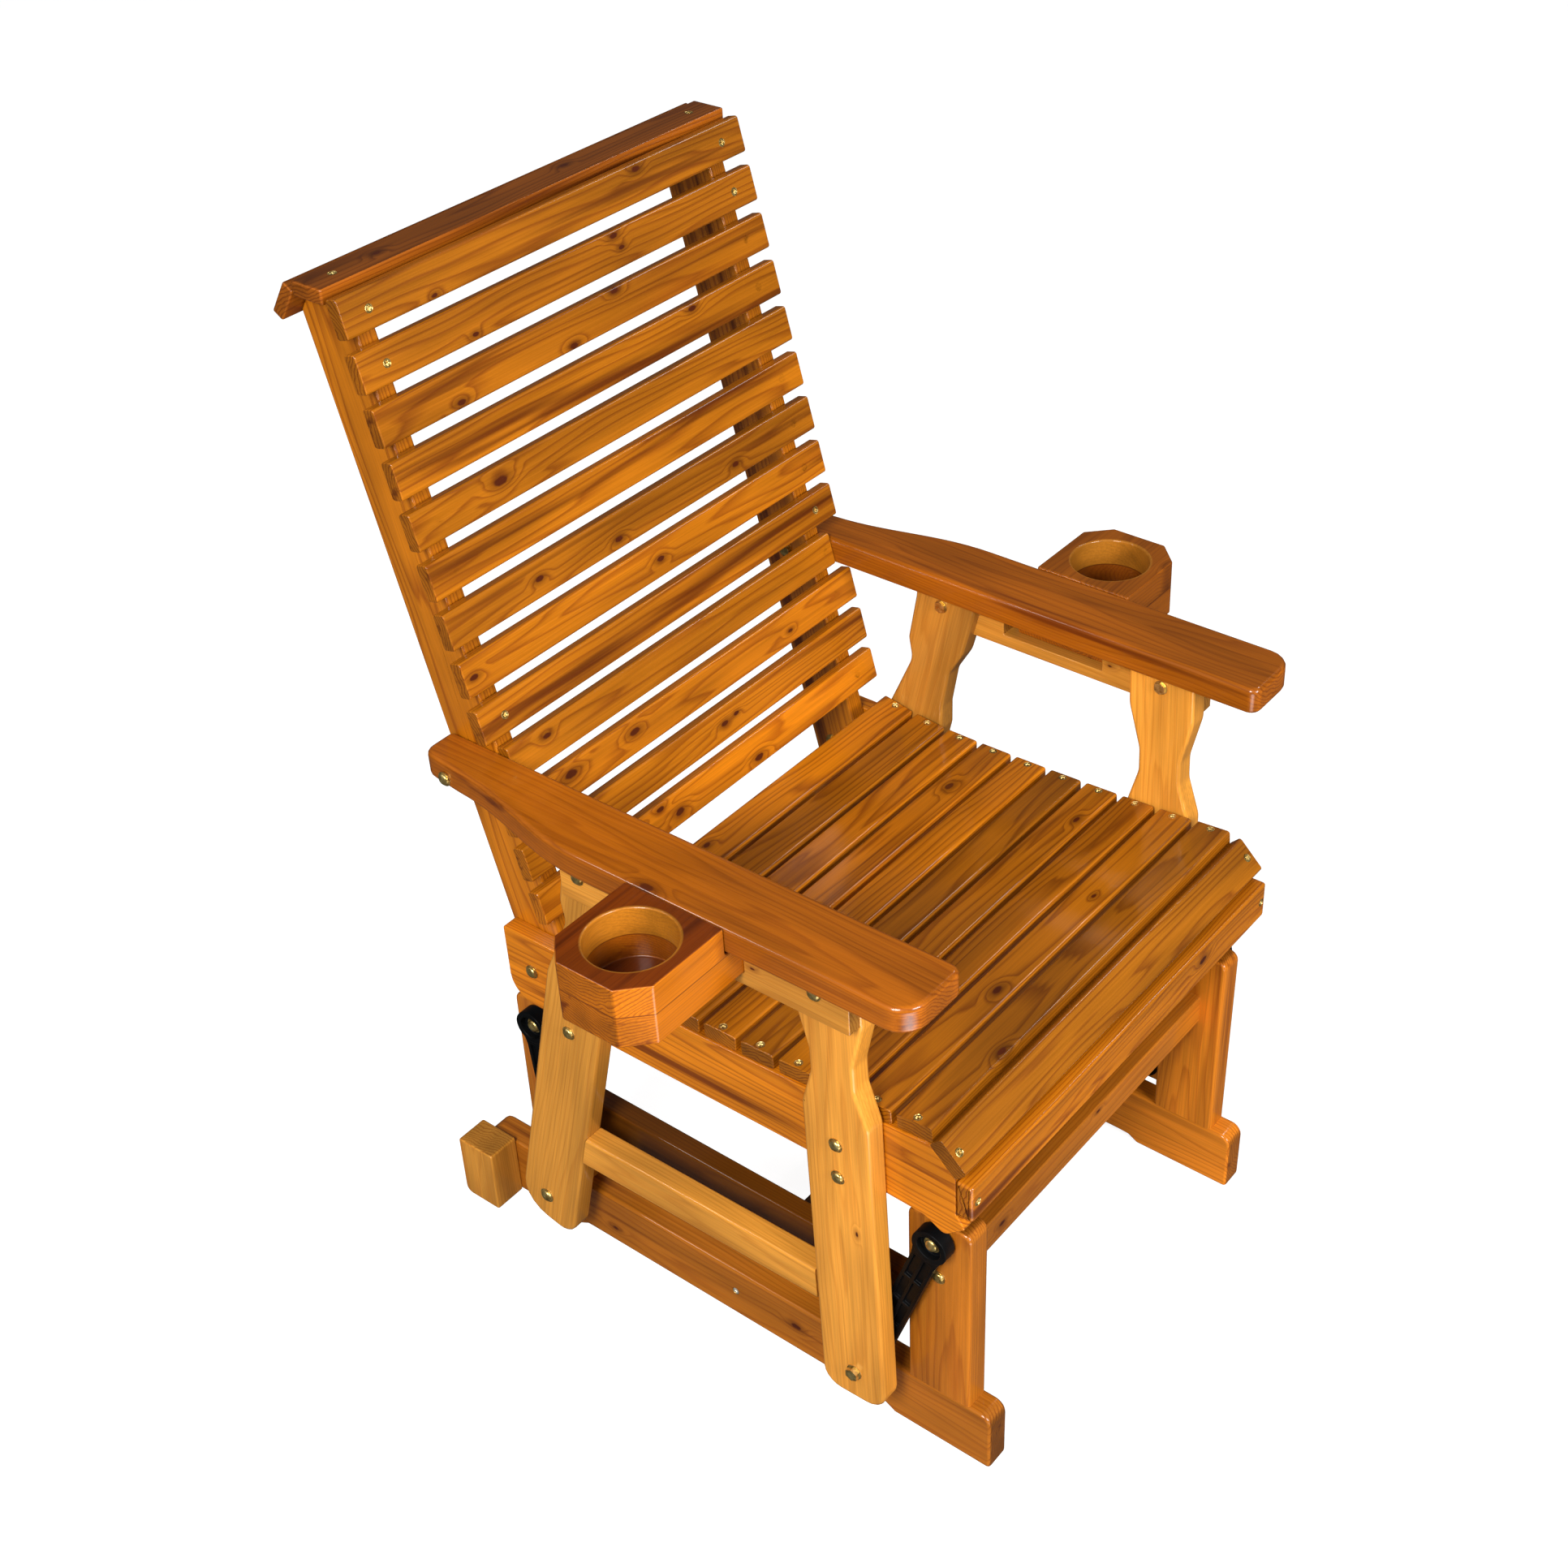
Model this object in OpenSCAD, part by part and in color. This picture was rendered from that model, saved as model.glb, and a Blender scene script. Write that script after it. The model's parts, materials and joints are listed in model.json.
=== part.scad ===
// Single-seat porch glider chair: a slatted timber seat with two cup holders that hangs
// on four moulded links inside a standing timber base.
// Millimetres, Z up. The sitter faces -Y and has +X on the left hand. The origin is on
// the floor, at the middle of the chair's overall width and depth.
// The seat is drawn level, in its own place, and is then hung on the links by hang_seat().

/* [Base] */
// Place of the middle of the base, from the middle of the whole chair
base_mid_y = -68; // [-90:0.5:0]
// Distance from the middle to the outer face of each side of the base
base_half_width = 241; // [200:1:400]
// Thickness of the runner and upright boards
base_board_t = 28; // [24:1:36]
// How far the runners reach ahead of the middle
runner_front = 307; // [300:1:360]
// How far the runners reach behind the middle
runner_rear = 356; // [350:1:420]
// Height of the runners
runner_h = 73; // [66:1:80]
// Depth of the relief under a runner, between its two feet
runner_relief = 7; // [4:1:12]
// Length of the front foot of a runner
front_foot_len = 114; // [80:1:140]
// Length of the rear foot of a runner
rear_foot_len = 128; // [80:1:150]
// Radius of the upper corners at the runner ends
runner_corner_r = 13; // [5:1:20]
// Width of the uprights along the runner
upright_w = 71; // [60:1:90]
// Height of an upright above its pivot
upright_over = 20; // [14:1:24]
// Radius of the two upper corners of an upright
upright_corner_r = 10; // [4:1:16]
// Thickness of the rails between the uprights of one side
side_rail_t = 22; // [16:1:28]
// Height of the rails between the uprights of one side
side_rail_h = 45; // [35:1:60]
// Height of the underside of the side rails above the floor
side_rail_z = 155; // [120:1:170]
// Thickness of the front and rear cross rails
cross_rail_t = 20; // [16:1:26]
// Height of the front and rear cross rails
cross_rail_h = 36; // [30:1:44]
// Height of the underside of the cross rails above the floor
cross_rail_z = 217; // [205:1:225]
// Thickness of the low stretcher between the runners
low_stretcher_t = 22; // [18:1:30]
// Height of the low stretcher
low_stretcher_h = 36; // [28:1:44]
// Height of the middle of the low stretcher above the floor
low_stretcher_z = 42; // [38:1:48]
// Distance of the low stretcher's middle behind the middle of the base
low_stretcher_y = 8; // [-60:1:60]
// Thickness of a foot block, outward from the runner
foot_block_t = 37; // [30:1:50]
// Length of a foot block along the runner
foot_block_len = 49; // [40:1:70]
// Height of a foot block
foot_block_h = 80; // [70:1:100]
// How far a foot block stands past the runner's rear end
foot_block_over = 7; // [0:1:20]

/* [Glider links] */
// Distance between the two pivots of a link
link_len = 206; // [188:1:214]
// Thickness of the link at its heads
link_t = 15; // [13:0.5:20]
// Thickness of the link between its heads
link_waist_t = 9; // [7:0.5:9]
// Diameter of the link heads
link_head_d = 38; // [32:1:44]
// Width of the link between its heads
link_waist_w = 27; // [22:1:30]
// Width of the raised edge along a link
link_edge = 4; // [3:0.5:5]
// Thickness of the web that is left between the grooves of a link
link_web_t = 3; // [2:0.5:5]
// Diameter of the recess for a bolt head in a link head
link_recess_d = 26; // [25:1:28]
// Depth of the recess for a bolt head
link_recess = 7; // [6.5:0.5:7]
// Distance between the front and rear upper pivots
upper_pivot_spacing = 493; // [460:1:510]
// Height of the upper pivots above the floor
upper_pivot_z = 288; // [280:1:300]
// Distance between the front and rear lower pivots
lower_pivot_spacing = 404; // [396:1:414]
// How far the seat rests behind the middle of its swing
rest_shift = 24; // [0:1:30]
// How much lower the rear pivot sits on the seat than the front pivot
rear_pivot_drop = 5; // [0:0.5:10]
// Radius of the pivot bolts
pivot_r = 4; // [3:0.25:5]
// Radial clearance of a pivot bolt in its link
pivot_clearance = 0.3; // [0.2:0.05:0.5]
// Radial play of the two rear lower pivots, where the closed linkage is free
free_pivot_play = 2.8; // [2.6:0.1:3.2]
// Thickness of the washers beside the links
washer_t = 1.2; // [0.8:0.1:2]
// Gap on each face of those washers
running_gap = 0.2; // [0.1:0.05:0.4]

/* [Seat frame] */
// Thickness of the four posts
post_t = 24; // [20:1:30]
// Place of the front post's pivot ahead of the middle
front_pin_y = -178; // [-183:1:-173]
// Height of the front lower pivot on the level seat
front_pin_z = 93; // [88:1:98]
// How far the pivots lie outside the middle lines of their posts
pivot_set_out = 3; // [0:0.5:5]
// How far the posts reach below their pivots
post_below_pin = 38; // [30:1:42]
// Width of the posts below the seat
post_w = 74; // [66:1:80]
// Width of the posts at their waist
post_waist_w = 49; // [40:1:58]
// Width of the posts at their head
post_head_w = 75; // [66:1:80]
// Lean of the front post below the seat, in degrees
front_post_lean = 1.2; // [0:0.1:3]
// Lean of the rear post below the seat, in degrees
rear_post_lean = 13.8; // [12:0.1:15]
// Height of the level seat's side stretchers
stretcher_z = 169; // [150:1:200]
// Depth of the side stretchers, upward
stretcher_h = 39; // [32:1:50]
// Thickness of the seat rails
seat_rail_t = 17.5; // [15:0.5:18]
// How far the level seat rails lie above the tops of the uprights
rail_over_uprights = 25.5; // [20:0.5:32]
// Height of the seat rails at the lowest point of the dish
seat_rail_h = 75.5; // [70:0.5:84]
// Place of the rear end of the seat rails
seat_rail_rear = 259; // [245:1:275]
// How far the underside of a seat rail falls towards its nose
rail_fall = 3; // [0:0.5:5]
// How far the nose of a seat rail hangs below its underside
nose_drop = 15; // [8:1:18]

/* [Seat slats] */
// Number of flat slats across the seat
seat_slat_count = 10; // [8:1:10]
// Width of the seat slats
slat_w = 38; // [34:1:42]
// How much shorter the flat seat slats are at each end than the seat is wide
seat_slat_short = 2.5; // [0:0.5:6]
// Thickness of the seat slats
seat_slat_t = 17; // [14:1:20]
// Distance from one seat slat to the next
seat_pitch = 44.4; // [43:0.1:46]
// Place of the rear end of the first slat's bed
seat_bed_rear = 185; // [180:1:190]
// Place of the lowest point of the dished seat
dish_y = 74; // [40:1:110]
// Radius of the dish ahead of its lowest point
dish_front_r = 4200; // [3000:50:6000]
// Radius of the dish behind its lowest point
dish_rear_r = 465; // [400:5:800]
// Slope of the roll slat at the front of the seat, in degrees
roll_slope = 45; // [35:1:55]
// Thickness of the apron below the roll slat
apron_t = 18; // [14:1:22]
// Height of the apron
apron_h = 42; // [36:1:48]
// How far the top of the apron lies below the lower edge of the roll slat
apron_step = 2; // [0.5:0.5:4]
// Radius of the eased edges along the slats
slat_edge_r = 3; // [1:0.5:5]

/* [Back] */
// Lean of the back on the level seat, in degrees
back_lean = 14.3; // [10:0.1:18]
// Place of the top slat's middle, on its front face
back_top_y = 340; // [330:1:350]
// Height of the top slat's middle, on its front face
back_top_z = 1038; // [1000:1:1080]
// Number of slats in the back
back_slat_count = 13; // [10:1:13]
// Width of the back slats
back_slat_w = 36; // [32:1:40]
// How much longer the back slats are at each end than the seat is wide
back_slat_over = 2; // [0:0.5:4]
// Thickness of the back slats
back_slat_t = 14; // [12:0.5:18]
// Height of the lowest back slat's middle above the rear end of the seat slats' beds
back_low_over = 50; // [44:0.5:60]
// Thickness of the two stiles behind the slats
stile_t = 22; // [18:1:28]
// Depth of the stiles, from front to rear
stile_depth = 63.5; // [50:0.5:70]
// How far the lower rear corners of the stiles hang below the seat rails
stile_drop = 14; // [8:1:16]
// Depth of the top cap board, from front to rear
cap_depth = 37; // [34:1:44]
// Thickness of the top cap board
cap_t = 15; // [10:1:18]
// Height of the underside of the top cap board above the middle of the top slat
cap_over = 7; // [6:0.5:12]
// How far the front edge of the top cap board lies behind the front of the stiles
cap_set_back = 5.5; // [0:0.5:8]
// How far the leaning cap board reaches up behind the top cap board
rear_cap_up = 4; // [1:0.5:8]
// Width of the leaning cap board behind the stiles
rear_cap_w = 37.5; // [32:0.5:42]
// Thickness of the leaning cap board
rear_cap_t = 13; // [10:1:16]
// Slope of the leaning cap board from upright, in degrees
rear_cap_slope = 33; // [25:1:40]

/* [Armrests] */
// Height of the top of the armrests on the level seat
armrest_top = 624; // [600:1:650]
// Thickness of the armrests
armrest_t = 28; // [22:1:34]
// Width of the armrests over their front part
armrest_w = 76; // [66:1:90]
// Width of the armrests at their narrow rear end
armrest_rear_w = 40; // [34:1:48]
// Place of the front end of the armrests
armrest_front = -279; // [-300:1:-250]
// Place of the rear end of the armrests
armrest_rear = 308; // [300:1:320]
// Thickness of the rails under the armrests
arm_rail_t = 26; // [20:1:32]
// Depth of the rails under the armrests
arm_rail_h = 49; // [40:1:60]
// Place of the front end of the arm rails
arm_rail_front = -201; // [-212:1:-188]
// Place of the rear end of the arm rails
arm_rail_rear = 125; // [115:1:130]
// Depth to which the arm rails are let into the posts
arm_rail_let_in = 12; // [8:1:16]

/* [Cup holders] */
// Length of a cup holder along the armrest
cup_block_len = 110; // [104:1:124]
// How far a cup holder stands out from its armrest
cup_block_out = 112; // [108:1:130]
// Height of the lower cup holder board, under the armrest's level
cup_lower_t = 35; // [26:1:44]
// Place of the middle of a cup holder
cup_y = -33; // [-60:1:0]
// Distance of the cup hole's middle from the armrest's edge
cup_out = 54; // [50:1:62]
// Radius of the cup hole
cup_r = 41; // [34:0.5:43]
// Thickness of the timber that is left under the cup hole
cup_floor_t = 9; // [6:1:20]
// Cut across the two outer corners of a cup holder
cup_corner = 24; // [10:1:30]
// How far a cup holder's tongue ends short of the arm rail's inner face
tongue_set_in = 12; // [4:1:16]
// How much longer the notch in the arm rail is than the tongue, to the rear
notch_over = 10; // [2:1:16]

/* [Fasteners] */
// Height of the lower bolt of each post in its seat rail
rail_bolt_z = 19; // [15:0.5:24]
// Distance between the two bolts of each post in its seat rail
rail_bolt_gap = 39.5; // [30:0.5:44]
// Height of the bolt of each stile in its seat rail
stile_bolt_z = 46; // [30:1:56]
// Height of the bolt of each post in its arm rail
arm_bolt_z = 30; // [20:1:36]
// Radius of the frame bolts
bolt_r = 3; // [2.5:0.25:4]
// Radius of the bolt heads
bolt_head_r = 7.5; // [6:0.25:9]
// Height of the bolt heads
bolt_head_h = 4; // [3:0.5:5]
// Radius of the countersunk screw heads
screw_head_r = 4.2; // [3:0.1:5]
// Radius of the screw shanks
screw_r = 2; // [1.5:0.1:2.5]
// Length of the screws
screw_len = 34; // [30:1:38]
// Clearance round screws and bolts in the timber
fastener_gap = 0.1; // [0.05:0.05:0.3]

/* [Hidden] */
BACK_SLATS = ["back_slat_01", "back_slat_02", "back_slat_03", "back_slat_04",
    "back_slat_05", "back_slat_06", "back_slat_07", "back_slat_08", "back_slat_09",
    "back_slat_10", "back_slat_11", "back_slat_12", "back_slat_13"];
SEAT_SLATS = ["seat_slat_01", "seat_slat_02", "seat_slat_03", "seat_slat_04",
    "seat_slat_05", "seat_slat_06", "seat_slat_07", "seat_slat_08", "seat_slat_09",
    "seat_slat_10"];

LEFT = 1;
RIGHT = -1;
SIDES = [LEFT, RIGHT];
slack = 0.02;
round_steps = 5;

// ---- Shared colours of the varnished timber and the fittings
HONEY = "#D9943A";
AMBER = "#C07018";
BROWN = "#9A5614";
BLACK_RESIN = "#15171A";
ZINC = "#C9B37A";

// ---- Levels and faces that several pieces share
base_inner = base_half_width - base_board_t;
upright_top = upper_pivot_z + upright_over;
washer_space = washer_t + 2 * running_gap;
link_inner = base_half_width + washer_space;
link_outer = link_inner + link_t;
seat_half = link_outer + washer_space;
post_outer = seat_half + post_t;
seat_rail_inner = seat_half - seat_rail_t;
stile_inner = seat_rail_inner - stile_t;
armrest_under = armrest_top - armrest_t;
armrest_outer = seat_rail_inner + armrest_w;
arm_rail_inner = post_outer - arm_rail_let_in;
arm_rail_outer = arm_rail_inner + arm_rail_t;
arm_rail_z = armrest_under - arm_rail_h;
cup_under = armrest_under - cup_lower_t;
cup_x = armrest_outer + cup_out;
pivot_head_r = link_recess_d / 2 - 4.5;

// ---- The four-bar linkage: both pairs of links have the same length
level_splay = (upper_pivot_spacing - lower_pivot_spacing) / 2;
front_upper = [-upper_pivot_spacing / 2, upper_pivot_z];
rear_upper = [upper_pivot_spacing / 2, upper_pivot_z];
front_swing = level_splay + rest_shift;
front_lower = front_upper + [front_swing, -sqrt(link_len ^ 2 - front_swing ^ 2)];
rear_lower = circle_meeting(front_lower, lower_pivot_spacing, rear_upper, link_len);
front_link_turn = asin(front_swing / link_len);
rear_link_turn = asin((rear_lower.x - rear_upper.x) / link_len);

// ---- The level seat's own pins, and the small turn that brings them onto the links
rear_pin_run = sqrt(lower_pivot_spacing ^ 2 - rear_pivot_drop ^ 2);
front_pin = [front_pin_y, front_pin_z];
rear_pin = front_pin + [rear_pin_run, -rear_pivot_drop];
seat_turn = asin((rear_lower.y - front_lower.y) / lower_pivot_spacing)
    + asin(rear_pivot_drop / lower_pivot_spacing);

// ---- Heights of the level seat, which follow from the uprights below it
seat_rail_z = front_pin_z + upright_top - front_lower.y + rail_over_uprights;
dish_z = seat_rail_z + seat_rail_h;
seat_top = dish_z + seat_slat_t;

// ---- Plane geometry, in [y, z] or [x, y] points
function unit(v) = v / norm(v);
function turned(p, angle) = [p.x * cos(angle) - p.y * sin(angle),
    p.x * sin(angle) + p.y * cos(angle)];

// The lower meeting point of a circle round a and a circle round b, b to the rear
function circle_meeting(a, radius_a, b, radius_b) =
    let (
        span = norm(b - a),
        along = unit(b - a),
        reach = (radius_a ^ 2 - radius_b ^ 2 + span ^ 2) / (2 * span),
        rise = sqrt(radius_a ^ 2 - reach ^ 2)
    )
    a + along * reach + [along.y, -along.x] * rise;

// The point at height z on the straight line from a to b
function at_height(a, b, z) = [a.x + (b.x - a.x) * (z - a.y) / (b.y - a.y), z];

// A corner between two straight edges, rounded with radius r
function corner(before, at, after, r) =
    r == 0 ? [at] :
    let (
        u = unit(before - at),
        v = unit(after - at),
        half = acos(u * v) / 2,
        centre = at + unit(u + v) * r / sin(half),
        start = at + u * r / tan(half) - centre,
        finish = at + v * r / tan(half) - centre,
        sweep = 180 - 2 * half
    )
    [for (i = [0:round_steps])
        let (t = i / round_steps)
        centre + (start * sin((1 - t) * sweep) + finish * sin(t * sweep)) / sin(sweep)];

// An outline of [point, corner radius] pairs as a plain list of points
function rounded(outline) =
    let (n = len(outline))
    [for (i = [0:n - 1])
        each corner(outline[(i + n - 1) % n][0], outline[i][0],
            outline[(i + 1) % n][0], outline[i][1])];

// A smooth curve from a to d, drawn towards b and c
function smooth_curve(a, b, c, d, steps) =
    [for (i = [0:steps])
        let (t = i / steps, s = 1 - t)
        a * s ^ 3 + b * 3 * s ^ 2 * t + c * 3 * s * t ^ 2 + d * t ^ 3];

// ---- Frames of drawing
// A profile drawn in Y-Z and given thickness along X, from x to x + thickness
module side_board(x, thickness) {
    translate([x, 0, 0]) rotate([90, 0, 90]) linear_extrude(thickness) children();
}

// A copy on the given side of the middle plane
module on_side(side) {
    mirror([side == RIGHT ? 1 : 0, 0, 0]) children();
}

// Brings what is drawn about the middle of the base to its place under the chair
module stand() {
    translate([0, base_mid_y, 0]) children();
}

// Brings what is drawn on the level seat to its place on the four links
module hang_seat() {
    stand()
        translate([0, front_lower.x, front_lower.y])
            rotate([seat_turn, 0, 0])
                translate([0, -front_pin.x, -front_pin.y])
                    children();
}

// A straight hole or shank along +X, from x to x + length, at [y, z]
module rod_x(x, length, at, r) {
    translate([x, at.x, at.y]) rotate([0, 90, 0]) cylinder(r = r, h = length, $fn = 32);
}

// ---- Fasteners, each drawn with its head at the origin and its shank along -Z
module countersunk_screw(length, gap) {
    head_h = screw_head_r - screw_r;
    rotate_extrude($fn = 32) polygon([[0, 0], [screw_head_r + gap, 0],
        [screw_r + gap, -head_h], [screw_r + gap, -length - gap], [0, -length - gap]]);
}

// A domed bolt head on a washer, at height 0 and above
module pan_head(r, h) {
    cylinder(r = r, h = 1, $fn = 40);
    dome_r = r * 0.82;
    rotate_extrude($fn = 40) polygon(concat([[0, 0.5], [dome_r, 0.5]],
        [for (a = [0:15:90]) [dome_r * cos(a) ^ 0.5, 1 + (h - 1) * sin(a)]]));
}

// A hexagon nut or head on a washer, at height 0 and above
module hex_head(r, h) {
    cylinder(r = r, h = 1, $fn = 40);
    translate([0, 0, 0.5]) cylinder(r = r * 0.86, h = h - 0.5, $fn = 6);
}

// A bolt through timber along +X, with a head outside at x_out and a nut inside at x_in
module through_bolt(x_in, x_out, at, hex_outside) {
    rod_x(x_in - 2, x_out - x_in + 3, at, bolt_r);
    translate([x_out, at.x, at.y]) rotate([0, 90, 0])
        if (hex_outside) hex_head(bolt_head_r, bolt_head_h);
        else pan_head(bolt_head_r, bolt_head_h);
    translate([x_in, at.x, at.y]) rotate([0, -90, 0]) hex_head(bolt_head_r, bolt_head_h);
}

// ============================ Standing base ============================

runner_step = 12;
function runner_outline() = [
    [[-runner_front, 0], 4],
    [[-runner_front + front_foot_len, 0], 0],
    [[-runner_front + front_foot_len + runner_step, runner_relief], 6],
    [[runner_rear - rear_foot_len - runner_step, runner_relief], 6],
    [[runner_rear - rear_foot_len, 0], 0],
    [[runner_rear, 0], 4],
    [[runner_rear, runner_h], runner_corner_r],
    [[-runner_front, runner_h], runner_corner_r]];

low_stretcher_at = [low_stretcher_y, low_stretcher_z];

module runner(side) {
    color(AMBER) stand() on_side(side) difference() {
        side_board(base_inner, base_board_t) polygon(rounded(runner_outline()));
        base_screw_places(fastener_gap);
    }
}

// Screws from the outside into the ends of the rails and stretchers of the base
cross_rail_mid = cross_rail_z + cross_rail_h / 2;
function cross_rail_y(end) = end * (upper_pivot_spacing / 2);
foot_block_y = runner_rear + foot_block_over - foot_block_len;

module base_screw_places(gap) {
    translate([base_half_width, low_stretcher_y, low_stretcher_z]) rotate([0, 90, 0])
        countersunk_screw(base_board_t + screw_len, gap);
    for (z = [foot_block_h * 0.3, foot_block_h * 0.6])
        translate([base_inner, foot_block_y + foot_block_len / 2, z]) rotate([0, -90, 0])
            countersunk_screw(base_board_t + 12, gap);
}

module upright(side, end) {
    y = end * upper_pivot_spacing / 2;
    color(AMBER) stand() on_side(side) difference() {
        side_board(base_inner, base_board_t) polygon(rounded([
            [[y - upright_w / 2, runner_h], 0],
            [[y + upright_w / 2, runner_h], 0],
            [[y + upright_w / 2, upright_top], upright_corner_r],
            [[y - upright_w / 2, upright_top], upright_corner_r]]));
        rod_x(base_inner - 1, base_board_t + 2, [y, upper_pivot_z], pivot_r + fastener_gap);
        rod_x(base_inner - 1, base_board_t + 2, [y, cross_rail_mid], screw_r + fastener_gap);
    }
}

module base_side_rails() {
    inner_end = upper_pivot_spacing / 2 - upright_w / 2;
    color(AMBER) stand() for (side = SIDES) on_side(side)
        translate([base_inner, -inner_end, side_rail_z])
            cube([side_rail_t, 2 * inner_end, side_rail_h]);
}

module cross_rail(end) {
    y = cross_rail_y(end);
    color(AMBER) stand() difference() {
        translate([-base_inner, y - cross_rail_t / 2, cross_rail_z])
            cube([2 * base_inner, cross_rail_t, cross_rail_h]);
        for (side = SIDES) on_side(side)
            rod_x(base_inner - screw_len, screw_len + 1, [y, cross_rail_mid],
                screw_r + fastener_gap);
    }
}

module low_stretcher() {
    color(AMBER) stand() difference() {
        translate([-base_inner, low_stretcher_y - low_stretcher_t / 2,
            low_stretcher_z - low_stretcher_h / 2])
            cube([2 * base_inner, low_stretcher_t, low_stretcher_h]);
        for (side = SIDES) on_side(side) base_screw_places(fastener_gap);
    }
}

module foot_blocks() {
    y = foot_block_y;
    color(HONEY) stand() for (side = SIDES) on_side(side) difference() {
        side_board(base_half_width, foot_block_t) polygon(rounded([
            [[y, 0], 3],
            [[y + foot_block_len, 0], 9],
            [[y + foot_block_len, foot_block_h], 3],
            [[y, foot_block_h], 3]]));
        base_screw_places(fastener_gap);
    }
}

// Pivot bolts with their washers and nuts, and the screws of the cross rails
module base_fasteners() {
    head_floor = link_outer - link_recess + running_gap;
    color(ZINC) stand() for (side = SIDES) on_side(side) {
        for (end = [-1, 1]) {
            pivot = [end * upper_pivot_spacing / 2, upper_pivot_z];
            rod_x(base_inner - 6, head_floor - base_inner + 7, pivot, pivot_r);
            translate([head_floor, pivot.x, pivot.y]) rotate([0, 90, 0])
                pan_head(pivot_head_r, bolt_head_h + 1);
            translate([base_inner, pivot.x, pivot.y]) rotate([0, -90, 0])
                hex_head(pivot_head_r, bolt_head_h);
            rod_x(base_half_width, washer_t, pivot, link_head_d / 2 - 6);
            cross = [cross_rail_y(end), cross_rail_mid];
            rod_x(base_inner - screw_len + 4, screw_len + base_board_t - 3, cross, screw_r);
            translate([base_half_width, cross.x, cross.y]) rotate([0, 90, 0])
                pan_head(bolt_head_r, bolt_head_h - 0.2);
        }
        base_screw_places(0);
    }
}

// ============================ Glider links ============================

// A moulded link drawn along -Z from its upper pivot, its inner face at x = 0. The waist
// is thinner than the heads, and has a raised edge, a middle rib and cross ribs on both faces.
rib_count = 4;

module link_groove(from_z, to_z) {
    groove_w = (link_waist_w - 3 * link_edge) / 2;
    for (y = [-link_waist_w / 2 + link_edge, link_edge / 2])
        translate([0, y, to_z]) cube([link_waist_t, groove_w, from_z - to_z]);
}

module link_outline_body() {
    hub_clear = link_head_d / 2;
    waist_x = (link_t - link_waist_t) / 2;
    translate([waist_x, -link_waist_w / 2, -link_len])
        cube([link_waist_t, link_waist_w, link_len]);
    for (z = [0, -link_len]) rod_x(0, link_t, [0, z], link_head_d / 2);
    // Short shoulders that blend the heads into the waist
    for (z = [0, -link_len])
        let (towards = z == 0 ? -1 : 1)
        side_board(waist_x, link_waist_t) polygon([
            [-link_head_d / 2 + 1.5, z],
            [link_head_d / 2 - 1.5, z],
            [link_waist_w / 2, z + towards * (hub_clear + 9)],
            [-link_waist_w / 2, z + towards * (hub_clear + 9)]]);
}

module link(lower_bore_r) {
    hub_clear = link_head_d / 2 + 7;
    waist_x = (link_t - link_waist_t) / 2;
    groove = (link_waist_t - link_web_t) / 2;
    cell = (link_len - 2 * hub_clear - (rib_count - 1) * link_edge) / rib_count;
    difference() {
        link_outline_body();
        for (i = [0:rib_count - 1])
            let (top = -hub_clear - i * (cell + link_edge))
            for (x = [waist_x + groove - link_waist_t, waist_x + groove + link_web_t])
                translate([x, 0, 0]) link_groove(top, top - cell);
        rod_x(link_t - link_recess, link_recess + 1, [0, 0], link_recess_d / 2);
        rod_x(-1, link_recess + 1, [0, -link_len], link_recess_d / 2);
        rod_x(-1, link_t + 2, [0, 0], pivot_r + pivot_clearance);
        rod_x(-1, link_t + 2, [0, -link_len], lower_bore_r);
    }
}

module front_link(side) {
    color(BLACK_RESIN) stand() on_side(side)
        translate([link_inner, front_upper.x, front_upper.y])
            rotate([front_link_turn, 0, 0]) link(pivot_r + pivot_clearance);
}

module rear_link(side) {
    color(BLACK_RESIN) stand() on_side(side)
        translate([link_inner, rear_upper.x, rear_upper.y])
            rotate([rear_link_turn, 0, 0]) link(pivot_r + free_pivot_play);
}

// ============================ Seat frame ============================

// A post is drawn from stations: the middle, the full width and the lean of each level
function station_front(s) = s[0] - turned([s[1] / 2, 0], s[2]);
function station_rear(s) = s[0] + turned([s[1] / 2, 0], s[2]);
function post_outline(stations) = concat(
    [for (s = stations) [station_front(s), s[3]]],
    [for (i = [len(stations) - 1:-1:0]) [station_rear(stations[i]), stations[i][4]]]);

// The middle of each post at its pivot and at its foot
front_post_mid = front_pin + [pivot_set_out, 0];
rear_post_mid = rear_pin - [pivot_set_out, 0];
front_post_foot = front_post_mid - turned([0, post_below_pin], -front_post_lean);
rear_post_foot = rear_post_mid - turned([0, post_below_pin], rear_post_lean);
// The middle line of each post at height z
function front_line(z) = at_height(front_post_foot, front_post_mid, z);
function rear_line(z) = at_height(rear_post_foot, rear_post_mid, z);
// Height of a level of a post, as a share of the way from the seat to the armrest
function level(share) = seat_top + share * (armrest_under - seat_top);
// The head of the rear post stands a little ahead of its middle line
rear_head_ahead = [0.05 * post_w, 0];

// Middle, width, lean, front corner radius and rear corner radius, from the foot up
front_post_stations = [
    [front_post_foot, post_w, -front_post_lean, 0.29 * post_w, 0.29 * post_w],
    [front_line(level(0)), post_w, 0, 0.36 * post_w, 0.36 * post_w],
    [front_line(level(0.24)), post_waist_w, 0, 0.43 * post_w, 0.43 * post_w],
    [front_line(level(0.4)), post_waist_w, 0, 0.43 * post_w, 0.43 * post_w],
    [front_line(level(0.7)), post_head_w, 0, 0.57 * post_w, 0.57 * post_w],
    [front_line(armrest_under), post_head_w, 0, 0, 0]];

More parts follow.
